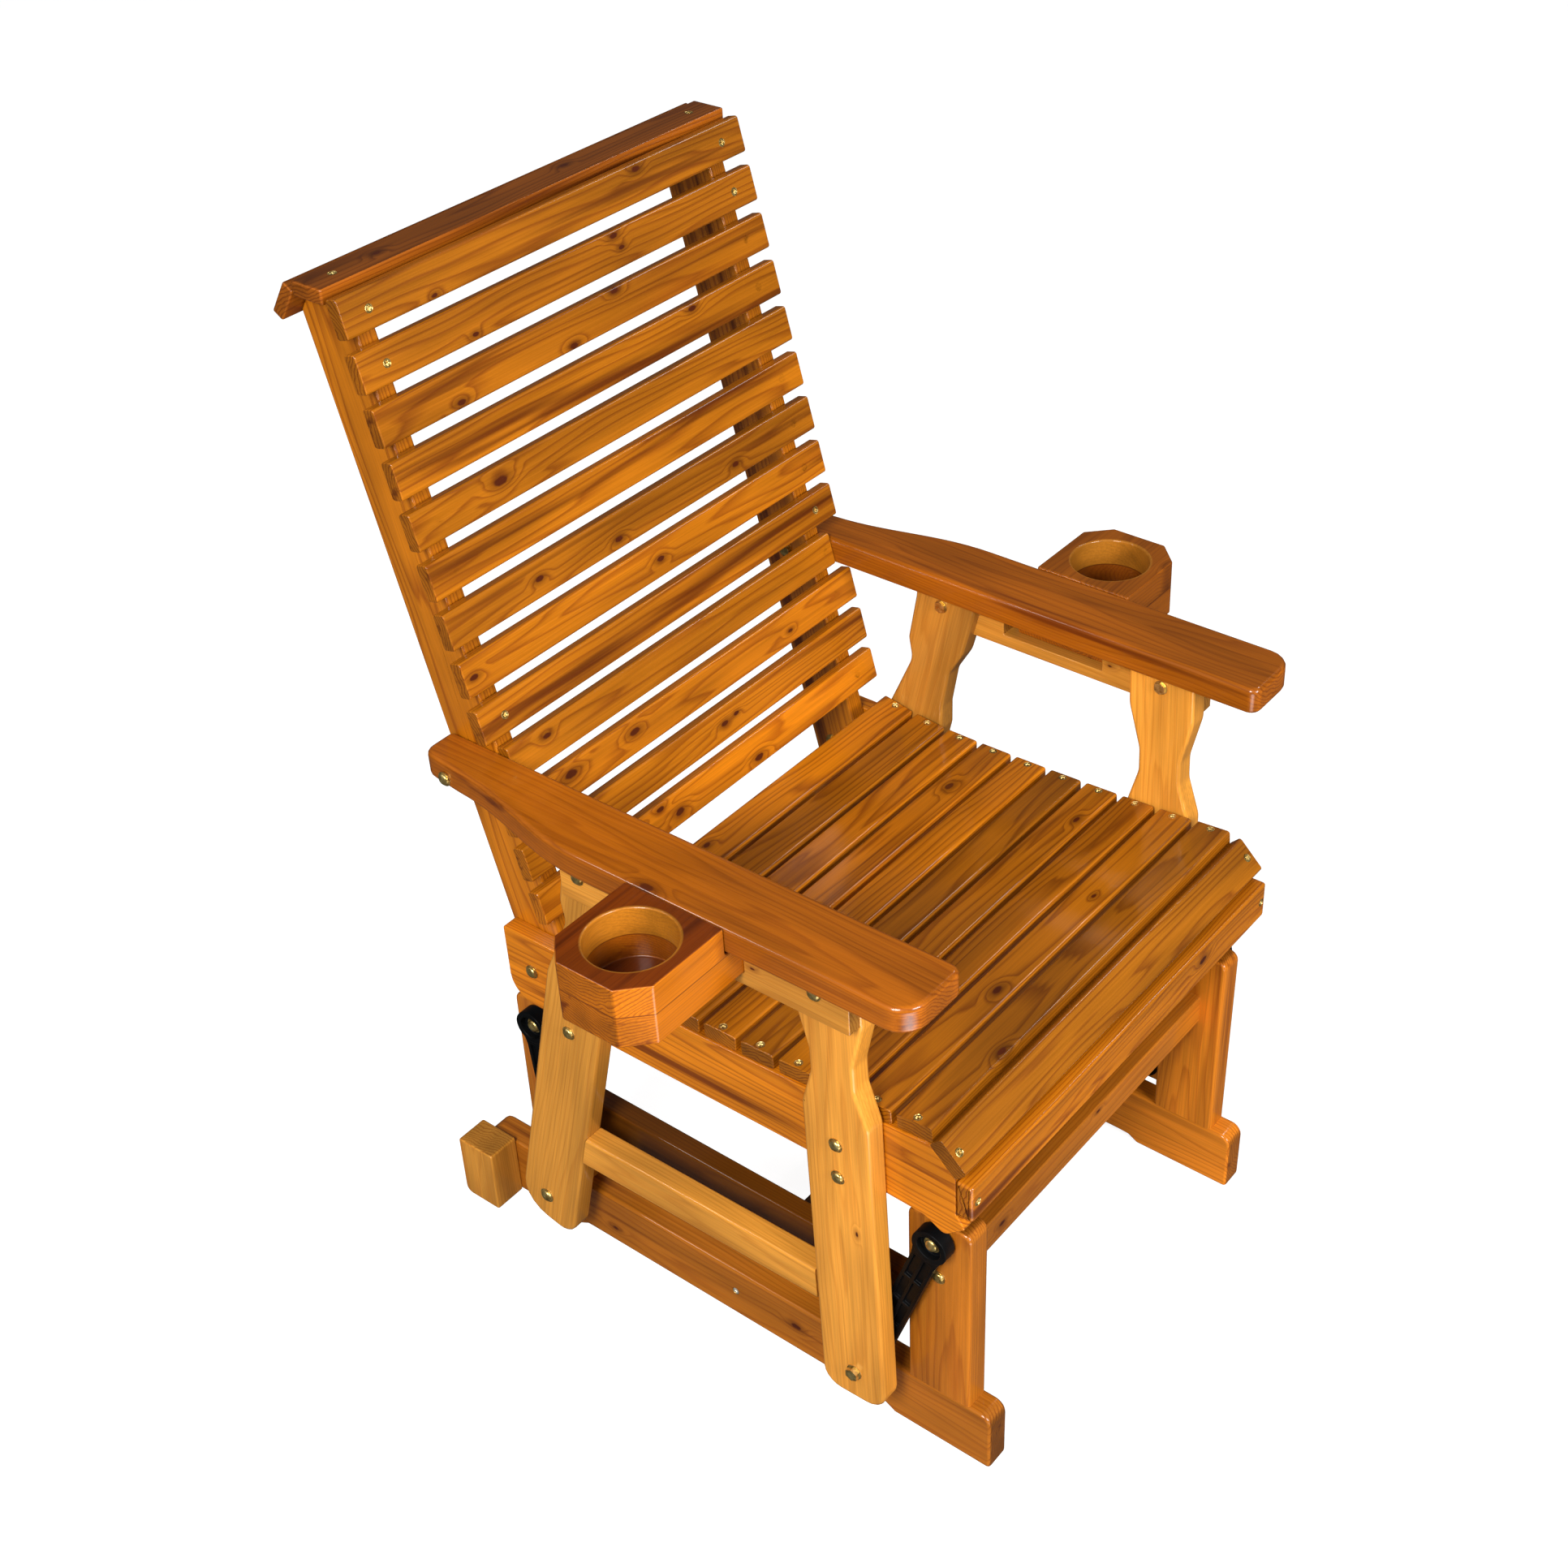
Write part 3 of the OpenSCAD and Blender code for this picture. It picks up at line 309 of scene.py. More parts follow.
WANDER = Noise(500, 76.92, 76.92, 2.0, 0.0)  # how the growth rings wander
SEASONS = Noise(833.3, 13.333, 13.333, 1.0, 6.0)  # how wide each year's ring is
STREAKS = Noise(625, 23.81, 23.81, 3.0, 1.0)
BROAD_TONE = Noise(312.5, 47.62, 47.62, 2.0, 4.0)
FIBRES = Noise(111.1, 1.6129, 1.6129, 2.0, 2.0)  # finer in real timber, drawn coarser so that they show
RAGGED_EDGE = Noise(7.692, 5.882, 16.667, 1.0, 3.0)  # outline of a knot


@dataclass(frozen=True)
class Timber:
    """Softwood with an oil-based gloss varnish: warm streaked grain under a clear wet-looking coat.

    Planed flat-sawn boards show wide pale earlywood and narrow dark latewood lines, which run
    along the board and close round its knots. The clear coat gives the soft bright highlights.
    """

    name: str
    early: str
    late: str
    streak: str
    knot: str = "#4E1E08"
    ring_mm: float = 3.4
    wander_mm: float = 30.0
    season_mm: float = 6.0
    streak_from: float = 0.58
    contrast: float = 0.55
    # Colour multiplied into level faces: a painted shade for the little light that falls on them from above
    top_wash: str = "#FFFFFF"
    sawn_wash: float = 0.68
    wood_roughness: float = 0.42
    coat_roughness: float = 0.13


# Pale honey softwood of the posts and blocks
HONEY = Timber("varnished_honey_pine", "#DC9436", "#BA6E1E", "#AA5A12", streak_from=0.64, contrast=0.4)
# Amber softwood of the back
AMBER = Timber("varnished_amber_cedar", "#B0660C", "#7E3C06", "#5E2804", streak_from=0.56, contrast=0.72)
# Browner softwood of the seat, with a slight painted shade on its top
BROWN = Timber(
    "varnished_brown_cedar", "#BA6C0C", "#7C3C06", "#562404", streak_from=0.57,
    contrast=0.75, top_wash="#EEEEEE",
)
# Red-brown softwood of the armrests, whose sawn ends stay bright
RUSSET = Timber("varnished_russet_cedar", "#A2560A", "#7E3C06", "#602604", streak_from=0.60, sawn_wash=1.4)
# The cap over the back, its top drawn nearly umber by a painted shade
UMBER = Timber("varnished_umber_cedar", "#A85A10", "#7A3A08", "#562206", contrast=0.8, top_wash="#CDCDCD")
# Orange softwood of a cup holder, its top drawn darker and reddish by a painted shade
COPPER = Timber(
    "varnished_copper_cedar", "#C46C04", "#904606", "#763003", contrast=0.35, top_wash="#8E7399",
    coat_roughness=0.22,
)
# Orange-brown softwood of the standing base, whose sawn ends are dark
TAWNY = Timber("varnished_tawny_pine", "#C4721A", "#9C4E0E", "#7A3808", sawn_wash=0.5)


@dataclass(frozen=True)
class MouldedResin:
    """Glass-filled nylon, moulded black: a dark satin skin with a faint even texture."""

    name: str = "moulded_black_nylon"
    colour: str = "#060708"
    worn: str = "#0C0E10"
    grain_mm: float = 1.6  # finer in the mould, drawn coarser so that it shows
    cloud_mm: float = 35.71
    relief_mm: float = 0.3
    roughness: float = 0.42
    gloss: float = 0.12

    def material(self) -> Material:
        """Makes the material."""
        material, graph, shader = new_material(self.name)
        place = graph.add(Kind.COORDINATES)
        skin = graph.add(Kind.NOISE, vector=place, scale=1 / (self.grain_mm * MM), detail=2.0)
        cloud = graph.add(Kind.NOISE, vector=place, scale=1 / (self.cloud_mm * MM), detail=3.0)
        colour = graph.add(Kind.RAMP, cloud)
        set_stops(colour, [(0.3, self.colour), (0.75, self.worn)])
        graph.feed(shader["Base Color"], colour)
        rough = graph.add(Kind.RANGE, cloud, 0.3, 0.7, self.roughness - 0.06, self.roughness + 0.1)
        graph.feed(shader["Roughness"], rough)
        bump = graph.add(Kind.BUMP, strength=0.12, distance=self.relief_mm * MM, height=skin)
        graph.feed(shader["Normal"], bump)
        shader["Specular IOR Level"].default_value = self.gloss
        return material


@dataclass(frozen=True)
class PlatedSteel:
    """Steel plated with zinc: a bright metal, clouded from bright to dull, with no rainbow in it."""

    name: str
    bright: str
    dull: str
    roughness: float
    metallic: float
    cloud_mm: float = 4.762

    def material(self) -> Material:
        """Makes the material."""
        material, graph, shader = new_material(self.name)
        place = graph.add(Kind.COORDINATES)
        cloud = graph.add(Kind.NOISE, vector=place, scale=1 / (self.cloud_mm * MM), detail=3.0)
        colour = graph.add(Kind.RAMP, cloud)
        set_stops(colour, [(0.35, self.dull), (0.65, self.bright)])
        graph.feed(shader["Base Color"], colour)
        rough = graph.add(Kind.RANGE, cloud, 0.3, 0.7, self.roughness, self.roughness + 0.16)
        graph.feed(shader["Roughness"], rough)
        shader["Metallic"].default_value = self.metallic
        return material


# Yellow passivated plating, straw-coloured
STRAW_ZINC = PlatedSteel("yellow_zinc_steel", "#E8CE86", "#B8954E", 0.26, 0.9)
# Clear passivated plating, silvery
SILVER_ZINC = PlatedSteel("bright_zinc_steel", "#FAF6EA", "#DCD6C4", 0.34, 0.78)


# ---------- shared mesh work


def box_middle(node: str) -> Vector:
    """Middle of a CAD node's box, in metres."""
    low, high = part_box(node)
    return (low + high) / 2


def body_of(node: str) -> str:
    """Name of the body that carries a CAD node."""
    return str(frame["nodes"][node]["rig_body"])


def slot_of(node: str) -> str:
    """Name of the record's material slot of a CAD node."""
    return next(p["material_slot"] for p in frame["record"]["subparts"] if p["node"] == node)


def stand_for(obj: Object, node: str) -> None:
    """Puts a finished piece in the place of its CAD node.

    Args:
        obj: the piece.
        node: the CAD node.
    """
    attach(obj, body_of(node))
    slot_of(node)
    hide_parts(node)


def link_object(bm: BMesh, name: str) -> Object:
    """Turns a bmesh into an object in the scene.

    Args:
        bm: the mesh, which is freed.
        name: the new object's name.

    Returns:
        The object, at the origin.
    """
    mesh = bpy.data.meshes.new(name)
    bm.to_mesh(mesh)
    bm.free()
    obj = bpy.data.objects.new(name, mesh)
    bpy.context.scene.collection.objects.link(obj)
    return obj


def joined_copy(node: str) -> BMesh:
    """Copies a CAD node's mesh with its doubles merged and its flat faces joined.

    Args:
        node: the CAD node.

    Returns:
        The new bmesh.
    """
    bm = bmesh.new()
    bm.from_mesh(frame["nodes"][node].data)
    bmesh.ops.remove_doubles(bm, verts=bm.verts, dist=MERGE_WITHIN)
    bmesh.ops.dissolve_limit(bm, angle_limit=FLAT_WITHIN, verts=bm.verts, edges=bm.edges)
    return bm


def groups_of(edges: Iterable[BMEdge]) -> list[list[BMEdge]]:
    """Parts a set of edges into groups that hang together.

    Args:
        edges: the edges.

    Returns:
        The groups.
    """
    left = set(edges)
    groups: list[list[BMEdge]] = []
    while left:
        first = left.pop()
        group, front = [first], [first]
        while front:
            for other in (e for vert in front.pop().verts for e in vert.link_edges):
                if other in left:
                    left.remove(other)
                    group.append(other)
                    front.append(other)
        groups.append(group)
    return groups


def span(points: Iterable[Vector]) -> float:
    """Diagonal of the box round some points, in metres."""
    rows = list(points)
    return math.sqrt(sum((max(p[i] for p in rows) - min(p[i] for p in rows)) ** 2 for i in range(3)))


def lengthwise(direction: Vector, limit: float = 0.8) -> EdgeFilter:
    """Filter that takes the edges along a direction.

    Args:
        direction: the direction.
        limit: smallest cosine of the angle between them.

    Returns:
        The filter.
    """

    def along(a: Vector, b: Vector) -> bool:
        """Says whether an edge runs along the direction."""
        run = b - a
        return run.length > 1e-9 and abs(run.normalized().dot(direction)) > limit

    return along


def off_plane(axis: int, value: float, slack_mm: float = 2.5) -> EdgeFilter:
    """Filter that leaves out the edges on one plane, where a board butts on another.

    Args:
        axis: 0, 1 or 2 for X, Y or Z.
        value: the plane's place, in metres.
        slack_mm: how near counts as on it.

    Returns:
        The filter.
    """

    def clear(a: Vector, b: Vector) -> bool:
        """Says whether an edge is off the plane."""
        return max(abs(a[axis] - value), abs(b[axis] - value)) > slack_mm * MM

    return clear


def off_joint(node: str, slack_mm: float = 1.0) -> EdgeFilter:
    """Filter that leaves out the edges inside another board's box, where that board is let in.

    Args:
        node: the board that is let in.
        slack_mm: how near its box counts as in it.

    Returns:
        The filter.
    """
    low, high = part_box(node)
    slack = slack_mm * MM

    def clear(a: Vector, b: Vector) -> bool:
        """Says whether an edge is off the joint."""
        return any(not low[i] - slack < p[i] < high[i] + slack for p in (a, b) for i in range(3))

    return clear


@dataclass
class Easing:
    """Rounds the long edges of a board and leaves its bolt holes and its joints crisp."""

    width_mm: float
    segments: int = 3
    sharp_from: float = 32.0  # degrees, the smallest bend that is rounded
    smallest_mm: float = 25.0  # a smaller chain of edges is a hole, and stays crisp
    keep: tuple[EdgeFilter, ...] = ()
    closing: Vector | None = None  # moves the side that it points to, to close a hairline

    def dress(self, node: str, name: str, material: Material) -> Object:
        """Makes the eased piece that stands for a CAD node.

        Args:
            node: the CAD node.
            name: the new piece's name.
            material: its finish.

        Returns:
            The new object.
        """
        bm = joined_copy(node)
        if self.closing is not None:
            middle = box_middle(node)
            side = [v for v in bm.verts if (v.co - middle).dot(self.closing) > 0]
            bmesh.ops.translate(bm, verts=side, vec=self.closing)
        self.mark(bm)
        for face in bm.faces:
            face.smooth = True
        obj = link_object(bm, name)
        obj.data.materials.append(material)
        bevel = obj.modifiers.new("eased_edges", "BEVEL")
        bevel.limit_method = "WEIGHT"
        bevel.width = self.width_mm * MM
        bevel.segments = self.segments
        bevel.use_clamp_overlap = False
        bevel.miter_outer = "MITER_ARC"
        normals = obj.modifiers.new("even_faces", "WEIGHTED_NORMAL")
        normals.keep_sharp = True
        stand_for(obj, node)
        return obj

    def mark(self, bm: BMesh) -> None:
        """Gives a bevel weight to the edges that are rounded, and keeps the others sharp."""
        weight = bm.edges.layers.float.new("bevel_weight_edge")
        least = math.radians(self.sharp_from)
        sharp = [e for e in bm.edges if len(e.link_faces) == 2 and e.calc_face_angle(0.0) > least]
        for edge in sharp:
            edge.smooth = False
        for group in groups_of(sharp):
            if span(v.co for e in group for v in e.verts) < self.smallest_mm * MM:
                continue
            for edge in group:
                a, b = (v.co for v in edge.verts)
                if all(taken(a, b) for taken in self.keep):
                    edge[weight] = 1.0
                    edge.smooth = True


# ---------- boards


@dataclass
class Board:
    """One board of the chair: its CAD node, its timber and how it is dressed."""

    node: str
    timber: Timber
    lie: Lie
    easing: Easing
    tone: float = 1.0
    knots: tuple[Knot, ...] = ()
    joint: float | None = None  # height of a glue line between two layers, in metres
    bore: Bore | None = None

    def dress(self) -> Object:
        """Builds the eased board over its node and gives it its material."""
        return self.easing.dress(self.node, f"{self.node}_board", Figure(self).material())


class Figure:
    """Draws the figure of one board, with its own place in the tree."""

    PITH_ASIDE = 0.05  # how far the heart of the tree lies beside the board, in metres
    PITH_DEEP = (0.05, 0.11)  # and how far under or over it
    GLUE = (0.0009, 0.0002)  # where the glue line starts and is full, from its middle
    LAYER_EDGE = 0.0008
    LOWER_LAYER = (0.3, 0.045, -0.06)  # shift to the lower layer's part of the tree
    CORE_SIZE = 0.75  # a knot's core, as a share of its radius
    CORE_SQUEEZE = (0.5, 1.0, 0.12)  # it is long along the grain and runs through the board
    CORE_EDGE = (1.35, 0.95)  # this and the next three are in cores
    CORE_FRAY = 0.5
    HALO_EDGE = (2.8, 0.9)
    RINGS_BEND = (4.2, 1.8)  # from where the rings bend round the core, and how far
    STREAK_EDGE = 0.14
    END_GRAIN = (0.35, 0.8)  # how square to the grain a face is where its long lines give way
    END_WASH = (0.75, 0.97)
    LEVEL = (0.6, 0.95)  # how level a face is where the painted shade on tops sets in
    FIBRE_RANGE = (0.2, 0.8)
    FIBRE_SHADE = (0.84, 1.1)
    BROAD_RANGE = (0.28, 0.72)
    BROAD_SHADE = (0.72, 1.18)
    BORE_EDGE = (0.0030, 0.0012)
    RING_RELIEF = 0.35  # as a share of the fibres' relief
    RELIEF = 0.0004
    ROUGHNESS = (-0.06, 0.08)  # spread round the timber's own

    def __init__(self, board: Board) -> None:
        """Lays out the board's own coordinates."""
        self.board = board
        self.timber = board.timber
        self.rng = random.Random(board.node)
        self.made, self.graph, self.shader = new_material(f"{self.timber.name}_{board.node}")
        self.add = self.graph.add
        self.cores: list[NodeSocket] = []
        self.halos: list[NodeSocket] = []
        axes = board.lie.axes()
        self.place = self.add(Kind.COORDINATES)
        self.normal = self.place.node.outputs["Normal"]
        origin = -(axes @ box_middle(board.node))
        self.at = self.add(Kind.MAPPING, self.place, origin, axes.to_euler("XYZ"))
        self.seed = Vector([self.rng.uniform(-9, 9) for _ in range(3)])
        self.sawn = self.add(Kind.ABSOLUTE, self.add(Kind.DOT, self.normal, axes[0]))
        if board.joint is not None:
            height = self.add(Kind.HEIGHT, self.place)
            off = self.add(Kind.ABSOLUTE, self.add(Kind.SUBTRACT, height, board.joint))
            self.glue = self.step(off, self.GLUE, (0.0, 0.8))
            edges = (board.joint + self.LAYER_EDGE, board.joint - self.LAYER_EDGE)
            self.below = self.step(height, edges)
            self.at = self.add(Kind.VECTOR_MULTIPLY_ADD, self.below, self.LOWER_LAYER, self.at)

    def step(self, value: NodeSocket, over: Iterable[float], gives: Iterable[float] = (0, 1)) -> NodeSocket:
        """Takes a value smoothly from one range to another.

        Args:
            value: the value.
            over: where the step starts and ends.
            gives: what it gives at both.

        Returns:
            The stepped value.
        """
        return self.add(Kind.SMOOTH_STEP, value, *over, *gives)

    def blend(self, factor: NodeSocket, a: NodeSocket | str, b: NodeSocket | str) -> NodeSocket:
        """Blends from one colour to another, each an output or a hex colour."""
        a, b = (linear(colour) if isinstance(colour, str) else colour for colour in (a, b))
        return self.add(Kind.BLEND, factor=factor, a=a, b=b)

    def layer(self, noise: Noise) -> NodeSocket:
        """Adds a layer of noise."""
        return noise.draw(self.graph, self.at, self.seed)

    def growth(self) -> NodeSocket:
        """Distance from the pith, which gives the growth rings. The noise makes them wander."""
        pith = Vector((0, self.rng.uniform(-self.PITH_ASIDE, self.PITH_ASIDE), 0))
        pith.z = self.rng.choice((-1, 1)) * self.rng.uniform(*self.PITH_DEEP)
        flat = self.add(Kind.VECTOR_MULTIPLY, self.at, (0.0, 1.0, 1.0))
        wander = self.add(Kind.MULTIPLY, self.layer(WANDER), self.timber.wander_mm * MM)
        seasons = self.add(Kind.MULTIPLY, self.layer(SEASONS), self.timber.season_mm * MM)
        return self.add(Kind.ADD, self.add(Kind.ADD, self.add(Kind.DISTANCE, flat, pith), wander), seasons)

    def rings(self) -> NodeSocket:
        """Bends the growth rings round the knots and keeps the knots' cores and halos.

        Returns:
            The place within a ring, from 0 to 1.
        """
        growth = self.growth()
        start, bend = self.RINGS_BEND
        for knot in self.board.knots:
            off = self.add(Kind.VECTOR_SUBTRACT, self.at, Vector((knot.along, knot.across, 0)) * MM)
            near = self.add(Kind.LENGTH, self.add(Kind.VECTOR_MULTIPLY, off, self.CORE_SQUEEZE))
            size = knot.radius * self.CORE_SIZE * MM
            growth = self.add(Kind.ADD, growth, self.step(near, (size * start, 0.0), (0.0, size * bend)))
            fray = self.add(Kind.MULTIPLY, self.layer(RAGGED_EDGE), size * self.CORE_FRAY)
            ragged = self.add(Kind.ADD, near, fray)
            self.cores.append(self.step(ragged, [size * edge for edge in self.CORE_EDGE]))
            self.halos.append(self.step(near, [size * edge for edge in self.HALO_EDGE], (0.0, 0.5)))
        return self.add(Kind.FRACTION, self.add(Kind.DIVIDE, growth, self.timber.ring_mm * MM))

    def wood(self, ring: NodeSocket) -> NodeSocket:
        """Colour of the rings, the wide heartwood streaks and the darker wood round the knots.

        Args:
            ring: the place within a ring.

        Returns:
            The colour.
        """
        timber, tone = self.timber, self.board.tone
        early, late = toned(timber.early, tone), toned(timber.late, tone)
        lines = self.add(Kind.RAMP, ring)
        # Slowly darker from spring to autumn, then quickly pale again
        set_stops(lines, [(0.0, early), (1.0, early), (0.50, early), (0.88, late)])
        even = self.blend(self.step(self.sawn, self.END_GRAIN, (timber.contrast, 1.0)), early, lines)
        start = timber.streak_from
        streaks = self.step(self.layer(STREAKS), (start, start + self.STREAK_EDGE), (0.0, 0.9))
        colour = self.blend(streaks, even, toned(timber.streak, tone))
        for halo in self.halos:
            colour = self.blend(halo, colour, toned(timber.streak, tone * 0.85))
        return colour

    def varnished(self, colour: NodeSocket, shade: NodeSocket) -> NodeSocket:
        """Lays the darker sawn ends and the painted shade on level faces over the wood.

        Args:
            colour: the wood's colour.
            shade: light and dark of its fibres.

        Returns:
            The colour under the clear coat.
        """
        # The sawn ends drink more varnish, so they look darker on most boards
        ends = self.step(self.sawn, self.END_WASH, (1.0, self.timber.sawn_wash))
        # Painted shade: faces that lie flat are drawn darker, for the little light that falls on them from
        # above
        level = self.step(self.add(Kind.HEIGHT, self.normal), self.LEVEL)
        top_shade = self.blend(level, "#FFFFFF", self.timber.top_wash)
        shaded = self.add(Kind.SCALE, colour, scale=self.add(Kind.MULTIPLY, shade, ends))
        return self.add(Kind.VECTOR_MULTIPLY, shaded, top_shade)

    def bored(self, colour: NodeSocket, shade: NodeSocket, bore: Bore) -> NodeSocket:
        """Colours the wall and the floor of the cup hole, partly with the two layers' own tones and partly
        with painted light and shade.

        Args:
            colour: the board's colour.
            shade: light and dark of its fibres.
            bore: the hole.

        Returns:
            The colour with the hole's own.
        """
        level = self.add(Kind.VECTOR_MULTIPLY, self.place, (1.0, 1.0, 0.0))
        off = self.add(Kind.DISTANCE, level, (bore.x, bore.y, 0.0))
        layer = self.blend(self.below, bore.upper, bore.lower)
        inside = self.step(off, [bore.radius + more for more in self.BORE_EDGE], (0.0, bore.strength))
        return self.blend(inside, colour, self.add(Kind.SCALE, layer, scale=shade))

    def material(self) -> Material:
        """Makes the board's material."""
        timber, shader, board = self.timber, self.shader, self.board
        ring = self.rings()
        colour = self.wood(ring)
        fibres = self.layer(FIBRES)
        broad = self.step(self.layer(BROAD_TONE), self.BROAD_RANGE, self.BROAD_SHADE)
        shade = self.add(Kind.MULTIPLY, self.step(fibres, self.FIBRE_RANGE, self.FIBRE_SHADE), broad)
        colour = self.varnished(colour, shade)
        if board.bore is not None:
            colour = self.bored(colour, shade, board.bore)
        for core in self.cores:
            colour = self.blend(core, colour, timber.knot)
        if board.joint is not None:
            colour = self.blend(self.glue, colour, toned(timber.streak, 0.8))
        self.graph.feed(shader["Base Color"], colour)
        relief = self.add(Kind.ADD, self.add(Kind.MULTIPLY, ring, self.RING_RELIEF), fibres)
        bump = self.add(Kind.BUMP, strength=0.22, distance=self.RELIEF, height=relief)
        self.graph.feed(shader["Normal"], bump)
        spread = [timber.wood_roughness + more for more in self.ROUGHNESS]
        self.graph.feed(shader["Roughness"], self.step(fibres, self.FIBRE_RANGE, spread))
        shader["Specular IOR Level"].default_value = 0.12
        shader["Coat Weight"].default_value = 0.85
        shader["Coat Roughness"].default_value = timber.coat_roughness
        shader["Coat IOR"].default_value = 1.5
        return self.made


# ---------- the chair's sub-assemblies


class BoardWork(ABC):
    """A sub-assembly that is made of boards."""

    @abstractmethod
    def boards(self) -> list[Board]:
        """Lists the boards."""

    def build(self) -> list[Object]:
        """Dresses every board."""
        return [board.dress() for board in self.boards()]


@dataclass
class StandingBase(BoardWork):
    """Runners, uprights, rails, stretcher and foot blocks."""

    easing_mm: float = 3.5
    rail_easing_mm: float = 2.5
    # Partly each side's own tone, partly painted light: the far (left) boards are drawn lighter for the
    # brighter light on them
    tones: dict[str, float] = field(default_factory=lambda: {"right": 0.95, "left": 1.16})

    def boards(self) -> list[Board]:
        """Lists the boards of the base."""
        soft = Easing(self.easing_mm)
        along_x = Easing(self.rail_easing_mm, keep=(lengthwise(AXIS_X),))
        along_y = Easing(self.rail_easing_mm, keep=(lengthwise(AXIS_Y),))
        runner_knots = (Knot(-95, 6, 5), Knot(150, -8, 4))
        cross_knots = (Knot(-152, 0, 4), Knot(15, 12, 3))
        boards = []
        for side in SIDES:
            tone = self.tones[side]
            boards.append(Board(f"runner_{side}", TAWNY, Lie.RUNNING_UPRIGHT, soft, tone, runner_knots))
        for node, side in ((f"{place}_upright_{side}", side) for place in PLACES for side in SIDES):
            easing = Easing(self.easing_mm, keep=(off_plane(2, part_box(node)[0].z),))
            boards.append(Board(node, TAWNY, Lie.STANDING, easing, self.tones[side]))
        # Painted shade: the side rails lie in the shade under the seat, and a tone of 0.6 draws them darker
        boards.append(Board("base_side_rails", RUSSET, Lie.RUNNING_UPRIGHT, along_y, 0.6, (Knot(7, 8, 4),)))
        boards.append(Board("front_cross_rail", TAWNY, Lie.ACROSS_UPRIGHT, along_x, knots=cross_knots))
        boards.append(Board("rear_cross_rail", TAWNY, Lie.ACROSS_UPRIGHT, along_x))
        # Painted shade: the low stretcher lies deep in the shade under the seat, and a tone of 0.34 draws it
        # much darker
        boards.append(Board("low_stretcher", RUSSET, Lie.ACROSS_UPRIGHT, along_x, 0.34))
        boards.append(Board("foot_blocks", HONEY, Lie.STANDING, Easing(2.0)))
        return boards


@dataclass
class SeatFrame(BoardWork):
    """Seat rails, posts and side stretchers of the hanging seat."""

    easing_mm: float = 4.0
    rail_easing_mm: float = 1.5
    stretcher_easing_mm: float = 3.0
    # Partly each post's own tone, partly painted light and shade: the rear posts are drawn darker for the cup
    # holders' shadow over them, the far front post lighter
    tones: dict[tuple[str, str], float] = field(
        default_factory=lambda: {
            ("front", "right"): 1.03,
            ("rear", "right"): 0.93,
            ("front", "left"): 1.09,
            ("rear", "left"): 0.88,
        }
    )

    def boards(self) -> list[Board]:
        """Lists the boards of the seat's frame."""
        boards = []
        for side in SIDES:
            rail = Easing(self.rail_easing_mm)
            boards.append(Board(f"seat_rail_{side}", AMBER, Lie.RUNNING_UPRIGHT, rail, 1.2))
            for place, lie in (("front", Lie.FRONT_POST), ("rear", Lie.REAR_POST)):
                node = f"{place}_post_{side}"
                crisp = (off_plane(2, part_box(node)[1].z), off_joint(f"arm_rail_{side}"))
                knots = (Knot(-37, -18, 3),) if place == "front" else ()
                easing = Easing(self.easing_mm, keep=crisp)
                boards.append(Board(node, HONEY, lie, easing, self.tones[place, side], knots))
        stretchers = Easing(self.stretcher_easing_mm, keep=(lengthwise(AXIS_Y),))
        boards.append(Board("side_stretchers", HONEY, Lie.RUNNING_UPRIGHT, stretchers))
        return boards


@dataclass
class SlattedSeat(BoardWork):
    """Ten flat slats, the roll slat and the apron."""

    slats: int = 10
    easing_mm: float = 1.2
    crisp_mm: float = 0.1
    apron_easing_mm: float = 4.0
    closing_mm: float = 0.6
    knots: dict[int, tuple[Knot, ...]] = field(
        default_factory=lambda: {
            1: (Knot(-60, 5, 4),),
            3: (Knot(-130, -6, 3),),
            4: (Knot(172, 2, 5),),
            7: (Knot(195, -8, 4),),
            9: (Knot(-72, -4, 5), Knot(96, -3, 3)),
            10: (Knot(-141, -12, 5),),
        }
    )

    def boards(self) -> list[Board]:
        """Lists the boards of the seat."""
        soft, crisp = Easing(self.easing_mm, segments=2), Easing(self.crisp_mm, segments=1)
        up_slope = leaning(90 - ROLL_SLOPE) * self.closing_mm * MM
        closing = Easing(self.crisp_mm, segments=1, closing=up_slope)
        apron_knots = (Knot(135, 5, 5),)
        boards = []
        for i in range(1, self.slats + 1):
            node = f"seat_slat_{i:02d}"
            tone = random.Random("seat" + node).uniform(0.86, 1.14)
            # The last slat meets the roll slat, so its edges stay as crisp as that one's
            easing = crisp if i == self.slats else soft
            boards.append(Board(node, BROWN, Lie.ACROSS_FLAT, easing, tone, self.knots.get(i, ())))
        boards.append(Board("seat_roll_slat", AMBER, Lie.ACROSS_ROLL, closing, 0.9))
        apron = Easing(self.apron_easing_mm)
        boards.append(Board("seat_apron", AMBER, Lie.ACROSS_UPRIGHT, apron, 1.14, apron_knots))
        return boards


